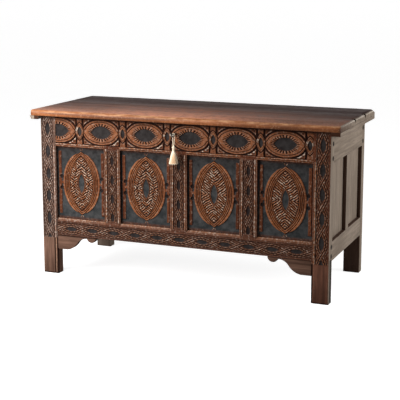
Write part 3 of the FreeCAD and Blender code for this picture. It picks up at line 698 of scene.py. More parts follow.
def cad_copy(node: str) -> BMesh:
    """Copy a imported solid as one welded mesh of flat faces.

    Args:
        node: The solid's name.

    Returns:
        The mesh.
    """
    made = bmesh.new()
    made.from_mesh(frame["nodes"][node].data)
    bmesh.ops.remove_doubles(made, verts=made.verts, dist=WELD)
    bmesh.ops.dissolve_limit(made, angle_limit=FLAT, verts=made.verts, edges=made.edges)
    return made


def slice_at(made: BMesh, place: Vector | Place, normal: Vector | Place, cut: Cut = Cut.PARTED,
             weld: float = WELD) -> None:
    """Cut a mesh along a plane.

    Args:
        made: The mesh.
        place: A point of the plane.
        normal: The plane's direction, towards what a closed cut takes away.
        cut: Whether the mesh is only parted, or loses that side and is closed.
        weld: How near to the plane points count as on it.
    """
    geometry = made.verts[:] + made.edges[:] + made.faces[:]
    done = bmesh.ops.bisect_plane(made, geom=geometry, dist=weld, plane_co=place, plane_no=normal,
                                  clear_outer=cut is not Cut.PARTED)
    edges = [item for item in done["geom_cut"] if isinstance(item, BMEdge)]
    if cut is Cut.CLOSED:
        bmesh.ops.holes_fill(made, edges=edges)
    elif cut is Cut.CLOSED_IN_TRIANGLES:
        bmesh.ops.triangle_fill(made, use_beauty=True, edges=edges)


def finished(made: BMesh, name: str, *finishes: Material, smooth: float = 40.0) -> Piece:
    """Turn a bmesh into a piece at the origin.

    Args:
        made: The mesh, which is freed.
        name: The piece's name.
        finishes: Its materials.
        smooth: The angle in degrees above which edges stay sharp.

    Returns:
        The piece.
    """
    mesh = bpy.data.meshes.new(name)
    made.to_mesh(mesh)
    made.free()
    for finish in finishes:
        mesh.materials.append(finish)
    mesh.shade_smooth()
    mesh.set_sharp_from_angle(angle=math.radians(smooth))
    return placed(name, mesh)


def placed(name: str, data: bpy.types.ID) -> Piece:
    """Put an object into the scene.

    Args:
        name: Its name.
        data: Its mesh, curve, lamp or camera.

    Returns:
        The object.
    """
    made = bpy.data.objects.new(name, data)
    bpy.context.scene.collection.objects.link(made)
    return made


def stand_in(piece: Piece, body: str, node: str) -> None:
    """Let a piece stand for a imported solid.

    Args:
        piece: The piece.
        body: The body that it rides on.
        node: The solid's name.
    """
    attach(piece, body)
    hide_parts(node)
    log.info("%s: on %s, in place of %s", piece.name, body, node)


def coat(node: str, *finishes: Material) -> Mesh:
    """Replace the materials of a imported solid.

    Args:
        node: The solid's name.
        finishes: Its new materials.

    Returns:
        The solid's mesh.
    """
    mesh = frame["nodes"][node].data
    mesh.materials.clear()
    for finish in finishes:
        mesh.materials.append(finish)
    log.info("%s: packed shape", node)
    return mesh


def points_of(mesh: Mesh) -> Array:
    """Read the points of a mesh.

    Args:
        mesh: The mesh.

    Returns:
        The points, one row each.
    """
    places = np.empty(len(mesh.vertices) * 3)
    mesh.vertices.foreach_get("co", places)
    return places.reshape(-1, 3)


def write_values(mesh: Mesh, name: str, values: Array, domain: str = "POINT") -> None:
    """Store one value per point or face on a mesh."""
    mesh.attributes.new(name, "FLOAT", domain).data.foreach_set("value", values.astype(np.float32))


@dataclass
class CarvedBoard:
    """A board of the front whose face is carved: the solid's back with a carved skin before it."""

    node: str
    grain: Grain
    finish: OakFinish = FADED_OAK
    slot: str = "carved_oak"
    spacing: float = 0.0013
    skin: float = 0.0105
    skin_left: float = 0.0005
    arris: float = 0.0016
    tremor: float = 0.0008
    sway_shift: float = 2.0
    uneven: float = 0.0004
    uneven_pace: float = 2.0
    border_soft: float = 0.001
    seed: float = 0.0

    def __post_init__(self) -> None:
        """Read the board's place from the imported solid."""
        self.low, self.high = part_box(self.node)

    def face(self) -> Face:
        """The carved face's low and high X and low and high Z."""
        return self.low.x, self.high.x, self.low.z, self.high.z

    def carve(self, relief: Relief) -> None:
        """Cut the board's own ornament."""
        raise NotImplementedError

    def within(self, across: Array, half_field: float) -> Array:
        """A mask of the band that a chain fills, from its half width."""
        return fall(np.abs(across), half_field - self.border_soft, half_field)

    def walls_dirt(self, places: Array) -> Array:
        """How dark the skin's side walls are made at their back edge."""
        return np.ones(len(places))

    def cut_back(self) -> BMesh:
        """Make room for the skin.

        Returns:
            The solid behind the skin, with its joints, closed where it is cut.
        """
        made = cad_copy(self.node)
        slice_at(made, (0, self.low.y + self.skin, 0), (0, -1, 0), Cut.CLOSED_IN_TRIANGLES, FINE_WELD)
        return made

    def build(self) -> None:
        """Make the carved piece, riding on the carcass."""
        x0, x1, z0, z1 = self.face()
        made = self.cut_back()
        columns = round((x1 - x0) / self.spacing)
        rows = round((z1 - z0) / self.spacing)
        mark = made.verts.layers.int.new(SKIN_MARK)
        grid = bmesh.ops.create_grid(made, x_segments=columns, y_segments=rows, size=0.5)["verts"]
        place = Matrix.Translation(((x0 + x1) / 2, self.low.y, (z0 + z1) / 2))
        spread = Matrix.Diagonal((x1 - x0, z1 - z0, 1, 1))
        bmesh.ops.transform(made, verts=grid, matrix=place @ ACROSS @ spread)
        rim = list({edge for vert in grid for edge in vert.link_edges if edge.is_boundary})
        walls = bmesh.ops.extrude_edge_only(made, edges=rim)["geom"]
        back = [item for item in walls if isinstance(item, BMVert)]
        bmesh.ops.translate(made, verts=back, vec=(0, self.skin, 0))
        for verts, kind in ((grid, SkinPoint.FACE), (back, SkinPoint.WALL)):
            for vert in verts:
                vert[mark] = kind.value
        loop = [item for item in walls if isinstance(item, BMEdge)]
        bmesh.ops.edgeloop_fill(made, edges=loop)
        bmesh.ops.recalc_face_normals(made, faces=made.faces)
        piece = finished(made, f"{self.node}_carved", self.finish.material(self.grain))
        self.cut_face(piece.data)
        self.dress(piece.data)
        stand_in(piece, "carcass", self.node)

    def dress(self, mesh: Mesh) -> None:
        """Give other finishes to faces that are not carved: none on most boards."""

    def cut_face(self, mesh: Mesh) -> None:
        """Move the skin's points back to the carving's depth, and colour them, painted shade and highlights
        included.

        Args:
            mesh: The piece's mesh, its skin marked.
        """
        places = points_of(mesh)
        marks = np.empty(len(places), np.int32)
        mesh.attributes[SKIN_MARK].data.foreach_get("value", marks)
        mesh.attributes.remove(mesh.attributes[SKIN_MARK])
        face = marks == SkinPoint.FACE.value
        wall = marks == SkinPoint.WALL.value
        x, _, z = places[face].T
        shake = self.tremor * wobble(x, z, self.seed)
        sway = self.tremor * wobble(z, x, self.seed + self.sway_shift)
        relief = Relief(x + shake, z + sway)
        self.carve(relief)
        x0, x1, z0, z1 = self.face()
        for side in (x - x0, x1 - x, z - z0, z1 - z):
            relief.round_over(side, self.arris)
        rough = 1 + wobble(x * self.uneven_pace, z * self.uneven_pace, self.seed)
        relief.depth = np.minimum(relief.depth + self.uneven / 2 * rough, self.skin - self.skin_left)
        places[face, 1] += relief.depth
        mesh.vertices.foreach_set("co", places.ravel())
        for name in STAINS:
            whole = np.zeros(len(places))
            whole[face] = getattr(relief, name)
            if name == "dirt":
                whole[wall] = self.walls_dirt(places[wall])
            write_values(mesh, name, whole)
        mesh.update()


@dataclass
class FrontPanel(CarvedBoard):
    """A panel with a great oval of feather cuts on a dark ground, between two upright strips."""

    finish: OakFinish = PANEL_OAK
    slot: str = "panel_oak"
    skin: float = 0.006
    tongue: float = 0.0075
    ground_depth: float = 0.0036
    margin_stain: float = 0.4
    margin_span: Pair = (0.003, 0.013)
    # A painted shadow of the rail above, over the top of the sunk ground
    top_shadow: float = 0.35
    top_span: Pair = (0.01, 0.09)
    oval_half: Pair = (0.086, 0.128)
    tip_half: Pair = (0.0755, 0.134)
    tip_lines: tuple[Line, ...] = tuple(Line(inset, 0.0046, 0.003) for inset in (0.0, 0.007, 0.0138))
    ring_edge: float = 0.002
    ring_worn: Pair = (0.4, 0.85)
    ring_dull: Pair = (0.02, 0.065)
    ring_bare_and_glint: float = 0.12
    strip_place: float = 0.099
    strip_width: float = 0.014
    strip_end: float = 0.02
    bar_half: Pair = (0.101, 0.006)
    punch_place: Pair = (0.0925, 0.024)
    punch_radius: float = 0.0085
    punch_depth: float = 0.0051
    punch_dirt: float = 0.8
    rows: int = 1
    feather_half: Pair = (0.054, 0.116)
    feather_pitch: float = 0.0106
    feather_lean: float = 0.75
    feather_depth: float = 0.0038
    feather_stray: float = 0.3
    feather_pace: float = 1.7
    feather_bare_and_glint: Pair = (1.1, 0.4)
    glint_shift: float = 5.0
    feather_dirt: Pair = (0.14, 0.45)
    feather_line: Line = Line(0.0, 0.0046, 0.003)
    row_span: float = 0.012
    row_line: Line = Line(0.0, 0.003, 0.002)
    heart_half: Pair = (0.0172, 0.0475)
    heart_gap: Pair = (-0.003, -0.0015)
    heart_line: Line = Line(0.0, 0.00368, 0.003)
    lozenge_half: Pair = (0.0145, 0.042)
    sprig_place: Pair = (0.0045, 0.141)
    sprig_half: Pair = (0.0024, 0.0065)
    sprig_lean: float = 0.5
    sprig_depth: float = 0.0026
    sprig_worn: float = 0.6
    sprig_bare_and_glint: float = 0.9

    def carve(self, relief: Relief) -> None:
        """Cut the oval, its feathers, the strips and the punched eyes, and paint the rail's shadow over the
        top of the ground.

        Args:
            relief: The panel's face.
        """
        x0, x1, z0, z1 = self.face()
        u = relief.across - (x0 + x1) / 2
        v = relief.up - (z0 + z1) / 2
        half_height = (z1 - z0) / 2 - self.tongue
        tip = lens(u, v, *self.tip_half)
        medallion = np.maximum(oval(u, v, *self.oval_half), tip)
        strip = self.strip_width / 2 - np.abs(np.abs(u) - self.strip_place)
        strip = np.minimum(strip, half_height - self.strip_end - np.abs(v))
        bar = np.minimum(self.bar_half[1] - np.abs(v), self.bar_half[0] - np.abs(u))
        punch = self.punch_radius - np.hypot(np.abs(u) - self.punch_place[0], np.abs(v) - self.punch_place[1])
        punch = inside(np.minimum(punch, -medallion))
        sunk = 1 - inside(np.maximum(medallion, np.maximum(strip, bar)), SOFT / 2) * (1 - punch)
        relief.sink(sunk, self.ground_depth)
        relief.stain(sunk * blend(self.margin_stain, 1.0, ease(half_height - np.abs(v), *self.margin_span)))
        # Paint the rail's shadow over the top of the ground
        relief.soil_and_shade(self.top_shadow * sunk * fall(half_height - v, *self.top_span))
        relief.sink(punch, self.punch_depth, self.punch_dirt)
        worn = blend(*self.ring_worn, ease(np.abs(v), *self.ring_dull))
        # The oval's ring, worn brighter, with a faint painted highlight
        relief.rub(ease(medallion, 0, self.ring_edge) * worn, self.ring_bare_and_glint)
        for line in self.tip_lines:
            relief.vee(tip, line)
        self.feathers(relief, u, v)
        relief.hollow(inside(lens(u, v, *self.lozenge_half)), self.ground_depth)
        # Small sprigs worn pale, with painted highlights, above and below the oval
        spread = np.abs(v) - self.sprig_place[1]
        lean = self.sprig_place[0] + self.sprig_lean * spread
        for side in (-1, 1):
            sprig = lens(u - side * lean, spread, *self.sprig_half)
            relief.lay(inside(sprig), self.sprig_depth, self.sprig_worn, self.sprig_bare_and_glint)

    def feathers(self, relief: Relief, u: Array, v: Array) -> None:
        """Cut the rows of leaning gouge strokes round the heart, their ridges worn bare with painted
        highlights.

        Args:
            relief: The face.
            u: Places across from the panel's middle.
            v: Places up from the panel's middle.
        """
        outer = lens(u, v, *self.feather_half)
        heart = lens(u, v, *self.heart_half)
        zone = inside(outer) * fall(heart, *self.heart_gap)
        share = outer / np.maximum(outer - heart, LEAST) * self.rows
        row = np.clip(np.floor(share), 0, self.rows - 1)
        lean = np.where(row % 2 == 0, self.feather_lean, -self.feather_lean)
        phase = (np.abs(v) - lean * np.abs(u)) / self.feather_pitch + row / 2
        phase = phase + self.feather_stray * wobble(self.feather_pace * u, self.feather_pace * v, self.seed)
        ridge = np.abs(np.cos(np.pi * phase))
        bare_and_glint = self.feather_bare_and_glint[0] + self.feather_bare_and_glint[1] * wobble(u, v, self.seed + self.glint_shift)
        relief.lay(zone, self.feather_depth * (1 - ridge), ridge ** 2, bare_and_glint * ridge ** 2)
        relief.soil_and_shade(zone * ease(1 - ridge, *self.feather_dirt))
        if self.rows > 1:
            relief.vee(np.abs(share - np.round(share)) * self.row_span, self.row_line, zone)
        relief.vee(outer, self.feather_line)
        relief.vee(heart, self.heart_line)


@dataclass(frozen=True)
class Bead:
    """The scratched bead and quirk along the edge of a panel opening."""

    bead: float = 0.0045
    quirk: float = 0.0026
    depth: float = 0.0024
    second: float = 0.0125
    second_width: float = 0.0022
    second_depth: float = 0.00144
    edge_span: Pair = (0.0005, 0.002)
    bead_soft: float = 0.0015
    fillet_soft: float = 0.001
    rubbed: float = 0.7
    rubbed_bare_and_glint: float = 0.3
    bare_and_glint: float = 0.9
    worn: float = 1.0

    def run(self, relief: Relief, edge: Array, mask: Array | float = 1.0) -> None:
        """Scratch the moulding along an edge, with painted highlights on its worn bead and fillet.

        Args:
            relief: The face.
            edge: Distance from the edge.
            mask: Where the moulding runs.
        """
        relief.vee(edge, Line(self.bead + self.quirk / 2, self.quirk, self.depth), mask)
        relief.vee(edge, Line(self.second, self.second_width, self.second_depth), mask)
        crown = ease(edge, *self.edge_span) * fall(edge, self.bead - self.bead_soft, self.bead) * mask
        relief.rub(crown * self.rubbed, self.rubbed_bare_and_glint)
        start = self.bead + self.quirk
        fillet = ease(edge, start, start + self.fillet_soft) * (edge < self.second - self.fillet_soft)
        relief.rub(self.worn * fillet * mask, self.bare_and_glint)


@dataclass
class Rail(CarvedBoard):
    """A rail of the front between the stiles, moulded beside the panel openings."""

    margin: float = 0.006

    def face(self) -> Face:
        """The face between the shoulders, without the tenons."""
        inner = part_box("front_stile_right")[0].x
        return -inner, inner, self.low.z, self.high.z

    def openings(self, relief: Relief) -> Array:
        """Find where the rail runs beside panel openings.

        Args:
            relief: The rail's face.

        Returns:
            1 beside an opening and 0 beside a muntin.
        """
        mask = np.ones_like(relief.across)
        for word in THIRDS:
            low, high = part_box(f"front_muntin_{word}")
            half = (high.x - low.x) / 2
            mask *= ease(np.abs(relief.across - (low.x + high.x) / 2), half - self.margin, half)
        return mask


@dataclass
class Frieze(Rail):
    """The top rail: a run of ovals with dark toothed eyes, parted by lozenges in pointed rings."""

    finish: OakFinish = CARVED_OAK
    pitch: float = 0.197
    first: float = -0.541
    count: int = 6
    lift: float = 0.004
    half_field: float = 0.0545
    ground_depth: float = 0.005
    field_worn: float = 0.45
    field_bare_and_glint: float = 0.1
    oval_half: Pair = (0.0515, 0.0815)
    point_half: Pair = (0.047, 0.092)
    band_edge: Pair = (0.001, 0.003)
    band_worn: float = 0.75
    band_bare_and_glint: float = 0.1
    band_line: Line = Line(0.0085, 0.0048, 0.0028)
    eye_half: Pair = (0.0265, 0.0475)
    eye_dirt: float = 0.5
    teeth: int = 28
    tooth_span: Pair = (-0.0118, -0.00826)
    tooth_stray: float = 0.6
    tooth_seeds: Pair = (3.0, 7.0)
    tooth_depth: float = 0.0038
    tooth_dirt: Pair = (0.18, 0.55)
    tooth_bare_and_glint: float = 0.28
    bar: float = 0.0125
    waist: float = 0.006
    gap: float = 0.006
    leaf_slope: float = 0.008
    leaf_depth: Pair = (0.0005, 0.0024)
    leaf_line: Line = Line(0.0065, 0.00336, 0.0032)
    leaf_crest: float = 0.3
    accent_bare_and_glint: float = 2.0
    leaf_bare_and_glint: float = 0.6
    # The widths and places of painted highlights: the arc along the spandrels' leaves and the stroke on the
    # dividers' rings
    stroke: float = 0.0052
    stroke_soft: float = 0.001
    stroke_start: float = 0.003
    stroke_span: Pair = (0.014, 0.019)
    ring_half: Pair = (0.0175, 0.035)
    ring_depth: float = 0.0004
    ring_worn: float = 0.9
    ring_bare_and_glint: float = 0.15
    ring_lines: tuple[Line, ...] = (Line(-0.0024, 0.00672, 0.0036), Line(0.004, 0.00336, 0.0022))
    lozenge_half: Pair = (0.009, 0.019)
    lozenge_line: Line = Line(0.0, 0.00384, 0.003)
    moulding: Bead = Bead(bare_and_glint=0.65)
    top_line: Line = Line(0.006, 0.003, 0.0015)
    # A painted shadow of the lid's overhang along the frieze's top
    top_shadow: float = 0.85
    top_span: Pair = (0.004, 0.02)
    keyhole: tuple[float, float, float] = (0.0042, 0.0022, 0.0155)
    keyhole_span: Pair = (-0.0004, 0.0008)

    def carve(self, relief: Relief) -> None:
        """Cut the ovals, the dividers, the moulding and the keyhole, and paint the lid's shadow along the
        top.

        Args:
            relief: The rail's face.
        """
        w = relief.up - (self.low.z + self.high.z) / 2 - self.lift
        cell = np.clip(np.round((relief.across - self.first) / self.pitch), 0, self.count - 1)
        u = relief.across - self.first - cell * self.pitch
        side = self.pitch / 2 - np.abs(u)
        rim = np.maximum(oval(w, u, *self.oval_half), lens(w, u, *self.point_half))
        zone = fall(np.abs(w), self.half_field - SOFT, self.half_field)
        bar = blend(self.waist, self.bar, ease(np.abs(w), 0.0, self.half_field))
        raised = inside(np.maximum(rim, bar - side), SOFT / 2)
        relief.sink(zone * (1 - raised), self.ground_depth, 1.0)
        relief.rub(zone * raised * self.field_worn, self.field_bare_and_glint)
        self.spandrels(relief, u, w, rim)
        self.eye(relief, u, w, rim, cell)
        self.divider(relief, u, side, w)
        self.moulding.run(relief, relief.up - self.low.z, self.openings(relief))
        below_top = self.high.z - relief.up
        relief.vee(below_top, self.top_line)
        # Paint the lid's shadow along the top
        relief.soil_and_shade(self.top_shadow * fall(below_top, *self.top_span))
        self.cut_keyhole(relief)

    def spandrels(self, relief: Relief, u: Array, w: Array, rim: Array) -> None:
        """Leave a leaf standing in each corner between an oval and a divider, with a painted highlight along
        its edge, strongest in the lower right corner.

        Args:
            relief: The face.
            u: Places along from the oval's middle.
            w: Places up from the rail's middle.
            rim: Distance inside the oval's rim.
        """
        outside = -rim - self.gap
        leaf = np.minimum(self.pitch / 2 - np.abs(u) - self.bar - self.gap, outside)
        leaf = np.minimum(leaf, self.half_field - self.gap / 2 - np.abs(w))
        top = self.leaf_depth[0] + self.leaf_depth[1] * ease(leaf, 0, self.leaf_slope)
        # A painted highlight along the leaf's edge by the oval
        crescent = fall(outside, self.stroke - self.stroke_soft, self.stroke + self.stroke_soft)
        bare_and_glint = np.where((u > 0) & (w < 0), self.accent_bare_and_glint, self.leaf_bare_and_glint)
        relief.lay(inside(leaf, SOFT / 2), top, self.leaf_crest, bare_and_glint * crescent)
        relief.vee(leaf, self.leaf_line, leaf > 0)

    def eye(self, relief: Relief, u: Array, w: Array, rim: Array, cell: Array) -> None:
        """Cut an oval's dark eye, the gouged teeth round it with painted highlights, and the line in its
        band.

        Args:
            relief: The face.
            u: Places along from the oval's middle.
            w: Places up from the oval's middle.
            rim: Distance inside the oval's rim.
            cell: Which oval it is.
        """
        relief.rub(ease(rim, *self.band_edge) * self.band_worn, self.band_bare_and_glint)
        relief.vee(rim, self.band_line)
        eye = lens(w, u, *self.eye_half)
        angle = np.arctan2(w / self.eye_half[0], u / self.eye_half[1])
        stray = self.tooth_stray * wobble(u, w, self.tooth_seeds[0])
        tooth = np.abs(np.cos(angle * self.teeth / 2 + stray))
        ring = ease(eye, *self.tooth_span)
        bare_and_glint = self.tooth_bare_and_glint * (1 + wobble(u + cell * self.pitch, w, self.tooth_seeds[1]))
        relief.lay(ring, self.tooth_depth * (1 - tooth), tooth ** 2, bare_and_glint * tooth ** 2)
        relief.soil_and_shade(ring * ease(1 - tooth, *self.tooth_dirt))
        relief.hollow(inside(eye), self.ground_depth, self.eye_dirt)

    def divider(self, relief: Relief, u: Array, side: Array, w: Array) -> None:
        """Cut the upright between two ovals: a dark lozenge in a pointed ring, with a painted highlight on
        the ring's upper left.

        Args:
            relief: The face.
            u: Places along from the oval's middle.
            side: Distance from the divider's middle.
            w: Places up from the rail's middle.
        """
        ring = lens(side, w, *self.ring_half)
        lozenge = lens(side, w, *self.lozenge_half)
        relief.vee(ring, self.ring_lines[0], np.abs(w) < self.half_field)
        stroke = (u > 0) * ease(w, 0.0, self.stroke_start) * fall(w, *self.stroke_span)
        relief.lay(inside(ring), self.ring_depth, self.ring_worn, self.ring_bare_and_glint + self.accent_bare_and_glint * stroke)
        relief.vee(ring, self.ring_lines[1], ring > 0)
        relief.vee(lozenge, self.lozenge_line, ring > 0)
        relief.hollow(inside(lozenge), self.ground_depth, self.eye_dirt)

    def cut_keyhole(self, relief: Relief) -> None:
        """Sink the keyhole's mouth into the frieze, painted black as the shade inside the hole.

        Args:
            relief: The rail's face.
        """
        radius, half_slot, drop = self.keyhole
        u = relief.across - KEY_AXIS.x
        w = relief.up - KEY_AXIS.z
        slot = np.minimum(half_slot - np.abs(u), np.minimum(-w, drop + w))
        mouth = np.maximum(radius - np.hypot(u, w), slot)
        # The mouth is painted black: the shade inside the hole
        relief.sink(ease(mouth, *self.keyhole_span), self.skin, 1.0)


@dataclass
class BottomRail(Rail):
    """The rail under the panels: a bevelled sill over a running chain of eyes."""

    chain: Guilloche = Guilloche(pitch=0.0985, reach=0.0155, strand=0.0152, eye_half=(0.0105, 0.0235))
    first_crossing: float = -0.5398
    middle: float = 0.029
    half_field: float = 0.0235
    border: Pair = (0.0032, 0.0024)
    sill: float = 0.0115
    sill_drop: float = 0.007
    sill_line: Line = Line(0.0125, 0.0026, 0.0018)
    sill_from: float = 0.02
    sill_worn: float = 0.3
    nose_span: Pair = (0.55, 0.75)
    nose_worn: float = 0.9
    nose_bare_and_glint: float = 0.5
    wall_dirt: float = 0.001

    def carve(self, relief: Relief) -> None:
        """Cut the chain and bevel the sill beside each opening.

        Args:
            relief: The rail's face.
        """
        across = relief.up - self.low.z - self.middle
        zone = self.within(across, self.half_field)
        self.chain.carve(relief, relief.across - self.first_crossing, across, zone)
        relief.vee(np.abs(across), Line(self.half_field, *self.border))
        edge = self.high.z - relief.up
        beside = self.openings(relief)
        slope = np.clip(1 - edge / self.sill, 0, 1) * beside
        relief.sink(slope, self.sill_drop)
        relief.vee(edge, self.sill_line, beside)
        relief.rub((slope > self.sill_from) * beside * self.sill_worn)
        # The sill's worn nose, with a painted highlight
        relief.rub(ease(slope, *self.nose_span) * beside * self.nose_worn, self.nose_bare_and_glint)

    def walls_dirt(self, places: Array) -> Array:
        """Only the wall that meets the panels is darkened."""
        return ease(places[:, 2], self.high.z - self.wall_dirt, self.high.z)


@dataclass
class Stile(CarvedBoard):
    """A corner post: a chain of upright eyes down to a plain leg."""

    chain: Guilloche = Guilloche(pitch=0.095, reach=0.0172, strand=0.0156, eye_half=(0.012, 0.0252))
    crossing: float = 0.6675
    carved_from: float = 0.155
    carved_soft: float = 0.003
    bead_margin: float = 0.013
    outer_margin: float = 0.0065
    border: Pair = (0.003, 0.0022)
    bead: Bead = Bead(quirk=0.002, second=0.0138, second_width=0.005, rubbed=0.1, bare_and_glint=0.6)
    bead_fade: float = 0.012
    leg_top: float = 0.175
    dark_side_under: float = 0.0895
    leg_finish: OakFinish = LEG_OAK
    leg_bead: Bead = Bead(bead=0.0002, quirk=0.0048, second=0.0132, second_width=0.0105, rubbed=0.0, bare_and_glint=0.4)
    leg_edge: Pair = (0.00275, 0.0055)
    leg_darkening: float = 0.0
    foot_darkening: float = 0.45
    darker_foot: Pair = (0.0, 0.12)
    foot_black: float = 0.9
    black_foot: Pair = (0.003, 0.011)
    # A painted shadow of the lid over the stile's top
    top_shadow: float = 0.8
    shaded_top: Pair = (0.004, 0.02)
    wall_span: Pair = (0.0005, 0.002)
    outward: float = 0.6

    def __post_init__(self) -> None:
        """Find the stile's side and the distances of its edges from the chest's middle."""
        super().__post_init__()
        self.side = math.copysign(1, self.low.x)
        self.inner, self.outer = sorted((abs(self.low.x), abs(self.high.x)))

    def carve(self, relief: Relief) -> None:
        """Cut the chain between the bead and the outer margin, darken the leg and its foot, and paint the
        lid's shadow at the top.

        Args:
            relief: The stile's face.
        """
        from_inner = self.side * relief.across - self.inner
        half_field = (self.outer - self.inner - self.bead_margin - self.outer_margin) / 2
        across = from_inner - self.bead_margin - half_field
        above = ease(relief.up, self.carved_from, self.carved_from + self.carved_soft)
        self.chain.carve(relief, relief.up - self.crossing, across, self.within(across, half_field) * above)
        relief.vee(np.abs(across), Line(half_field, *self.border), above)
        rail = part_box("front_top_rail")[0].z
        self.bead.run(relief, from_inner, above * fall(relief.up, rail, rail + self.bead_fade))
        self.leg_bead.run(relief, from_inner, 1 - above)
        relief.soil_and_shade((1 - above) * fall(from_inner, *self.leg_edge))
        # Darker towards the bottom of the foot
        relief.soil_and_shade(self.foot_darkening * fall(relief.up, *self.darker_foot))
        relief.soil_and_shade(self.foot_black * fall(relief.up, *self.black_foot))
        relief.soil_and_shade(self.leg_darkening * (1 - above))
        # Paint the lid's shadow at the stile's top
        relief.soil_and_shade(self.top_shadow * fall(self.high.z - relief.up, *self.shaded_top))

    def cut_back(self) -> BMesh:
        """Make room for the skin.

        Returns:
            The solid behind the skin, parted where the leg's darker side begins.
        """
        made = super().cut_back()
        slice_at(made, (0, 0, self.leg_top), (0, 0, 1))
        return made

    def dress(self, mesh: Mesh) -> None:
        """Leave the side that belongs to the chest's end as plain oak, the leg as plainer oak, and the rear
        of the leg's outer side darker.

        Args:
            mesh: The stile's mesh.
        """
        for finish in (PLAIN_OAK, self.leg_finish, DARK_SIDE_OAK):
            mesh.materials.append(finish.material(self.grain))
        for face in mesh.polygons:
            kind = StileFinish.CARVED
            if self.side * face.normal.x > self.outward:
                dark_side = face.center.y > self.low.y + self.skin and face.center.z < self.dark_side_under
                kind = StileFinish.LEG_SIDE if dark_side else StileFinish.END
            elif face.center.z < self.carved_from:
                kind = StileFinish.LEG
            face.material_index = kind.value

    def walls_dirt(self, places: Array) -> Array:
        """Only the wall beside the panels is darkened."""
        return fall(np.abs(places[:, 0]) - self.inner, *self.wall_span)


@dataclass
class Muntin(CarvedBoard):
    """An upright between two panels: a narrow chain between beaded edges."""

    chain: Guilloche = Guilloche(pitch=0.0797, reach=0.0135, strand=0.0132, eye_half=(0.0092, 0.0185),
                                 floor_dirt=0.35, eye_dirt=0.7)
    crossing: float = 0.0604
    half_field: float = 0.0215
    border: Pair = (0.003, 0.0024)
    end_span: Pair = (0.006, 0.008)
    bead: Bead = Bead()

    def face(self) -> Face:
        """The face between the rails, without the tenons."""
        return self.low.x, self.high.x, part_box("front_bottom_rail")[1].z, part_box("front_top_rail")[0].z

    def carve(self, relief: Relief) -> None:
        """Cut the chain and both edge mouldings.

        Args:
            relief: The muntin's face.
        """
        x0, x1, z0, z1 = self.face()
        across = relief.across - (x0 + x1) / 2
        ends = np.minimum(relief.up - z0, z1 - relief.up)
        zone = self.within(across, self.half_field) * ease(ends, *self.end_span)
        self.chain.carve(relief, relief.up - z0 - self.crossing, across, zone)
        relief.vee(np.abs(across), Line(self.half_field, *self.border))
        self.bead.run(relief, (x1 - x0) / 2 - np.abs(across))


@dataclass
class PlainBoards:
    """The uncarved timber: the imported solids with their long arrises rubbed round."""

    arris: float = 0.0016
    shortest: float = 0.03
    sharp: float = 60.0
    segments: int = 2
    # Painted shade on faces turned forwards or down, dust on those turned up
    shade_and_dust: float = 0.85
    far_shade: float = 0.5
    bracket_shade: float = 0.3
    sheltered: float = 0.5
    floor_boards: int = 4

    def rubbed(self, node: str) -> BMesh:
        """Copy a solid and round its long outer edges.

        Args:
            node: The solid's name.

        Returns:
            The mesh.
        """
        made = cad_copy(node)
        edges = [edge for edge in made.edges if edge.is_convex and edge.calc_length() > self.shortest
                 and edge.calc_face_angle(0) > math.radians(self.sharp)]
        bmesh.ops.bevel(made, geom=edges, offset=self.arris, offset_type="OFFSET", affect="EDGES",
                        segments=self.segments, profile=0.5, material=-1, clamp_overlap=True)
        return made

    def build(self, node: str, grain: Grain, finish: OakFinish = PLAIN_OAK, slot: str = "plain_oak",
              body: str = "carcass") -> None:
        """Make one rubbed board.

        Args:
            node: The solid that it stands for.
            grain: Its grain's direction.
            finish: Its finish.
            slot: Its material slot; not used.
            body: The body that it rides on.
        """
        piece = finished(self.rubbed(node), f"{node}_rubbed", finish.material(grain))
        write_values(piece.data, "dirt", self.soil_and_shade(piece.data), "FACE")
        stand_in(piece, body, node)

    def soil_and_shade(self, mesh: Mesh) -> Array:
        """Darken the faces that hold dust, and paint shade on those that see little light.

        Args:
            mesh: The board's mesh.

        Returns:
            The painted shade and dust on each face, on those that are turned forwards, up or down.
        """
        normals = np.array([face.normal for face in mesh.polygons])
        hidden = (normals[:, 1] < -self.sheltered) | (np.abs(normals[:, 2]) > self.sheltered)
        return hidden * self.shade_and_dust

    def build_all(self) -> None:
        """Make the ends, the back, the floor, the brackets and the cleats."""
        # The far left rear stile gets less painted shade; the right bracket's front gets some, the left one's
        # none
        shades = ((self.far_shade, 0.0), (self.shade_and_dust, self.bracket_shade))
        for side, (rear_shade, bracket_shade) in zip(SIDES, shades):
            for part in ("top_rail", "bottom_rail"):
                self.build(f"{side}_end_{part}", Grain.DEEP)
            for part in ("muntin", "panel_front", "panel_rear"):
                self.build(f"{side}_end_{part}", Grain.UPRIGHT)
            PlainBoards(shade_and_dust=rear_shade).build(f"rear_stile_{side}", Grain.UPRIGHT)
            self.build(f"back_muntin_{side}", Grain.UPRIGHT)
            Bracket(face_shade=bracket_shade).build(f"bracket_{side}", Grain.ALONG, LEG_OAK, "carved_oak")
            Cleat().build(f"lid_cleat_{side}", Grain.DEEP, PLAIN_OAK, "lid_oak", "lid")
        for part in THIRDS:
            self.build(f"back_panel_{part}", Grain.UPRIGHT)
        for part in ("top", "bottom"):
            self.build(f"back_{part}_rail", Grain.ALONG)
        for number in range(self.floor_boards):
            self.build(f"floor_board_{number + 1}", Grain.DEEP)


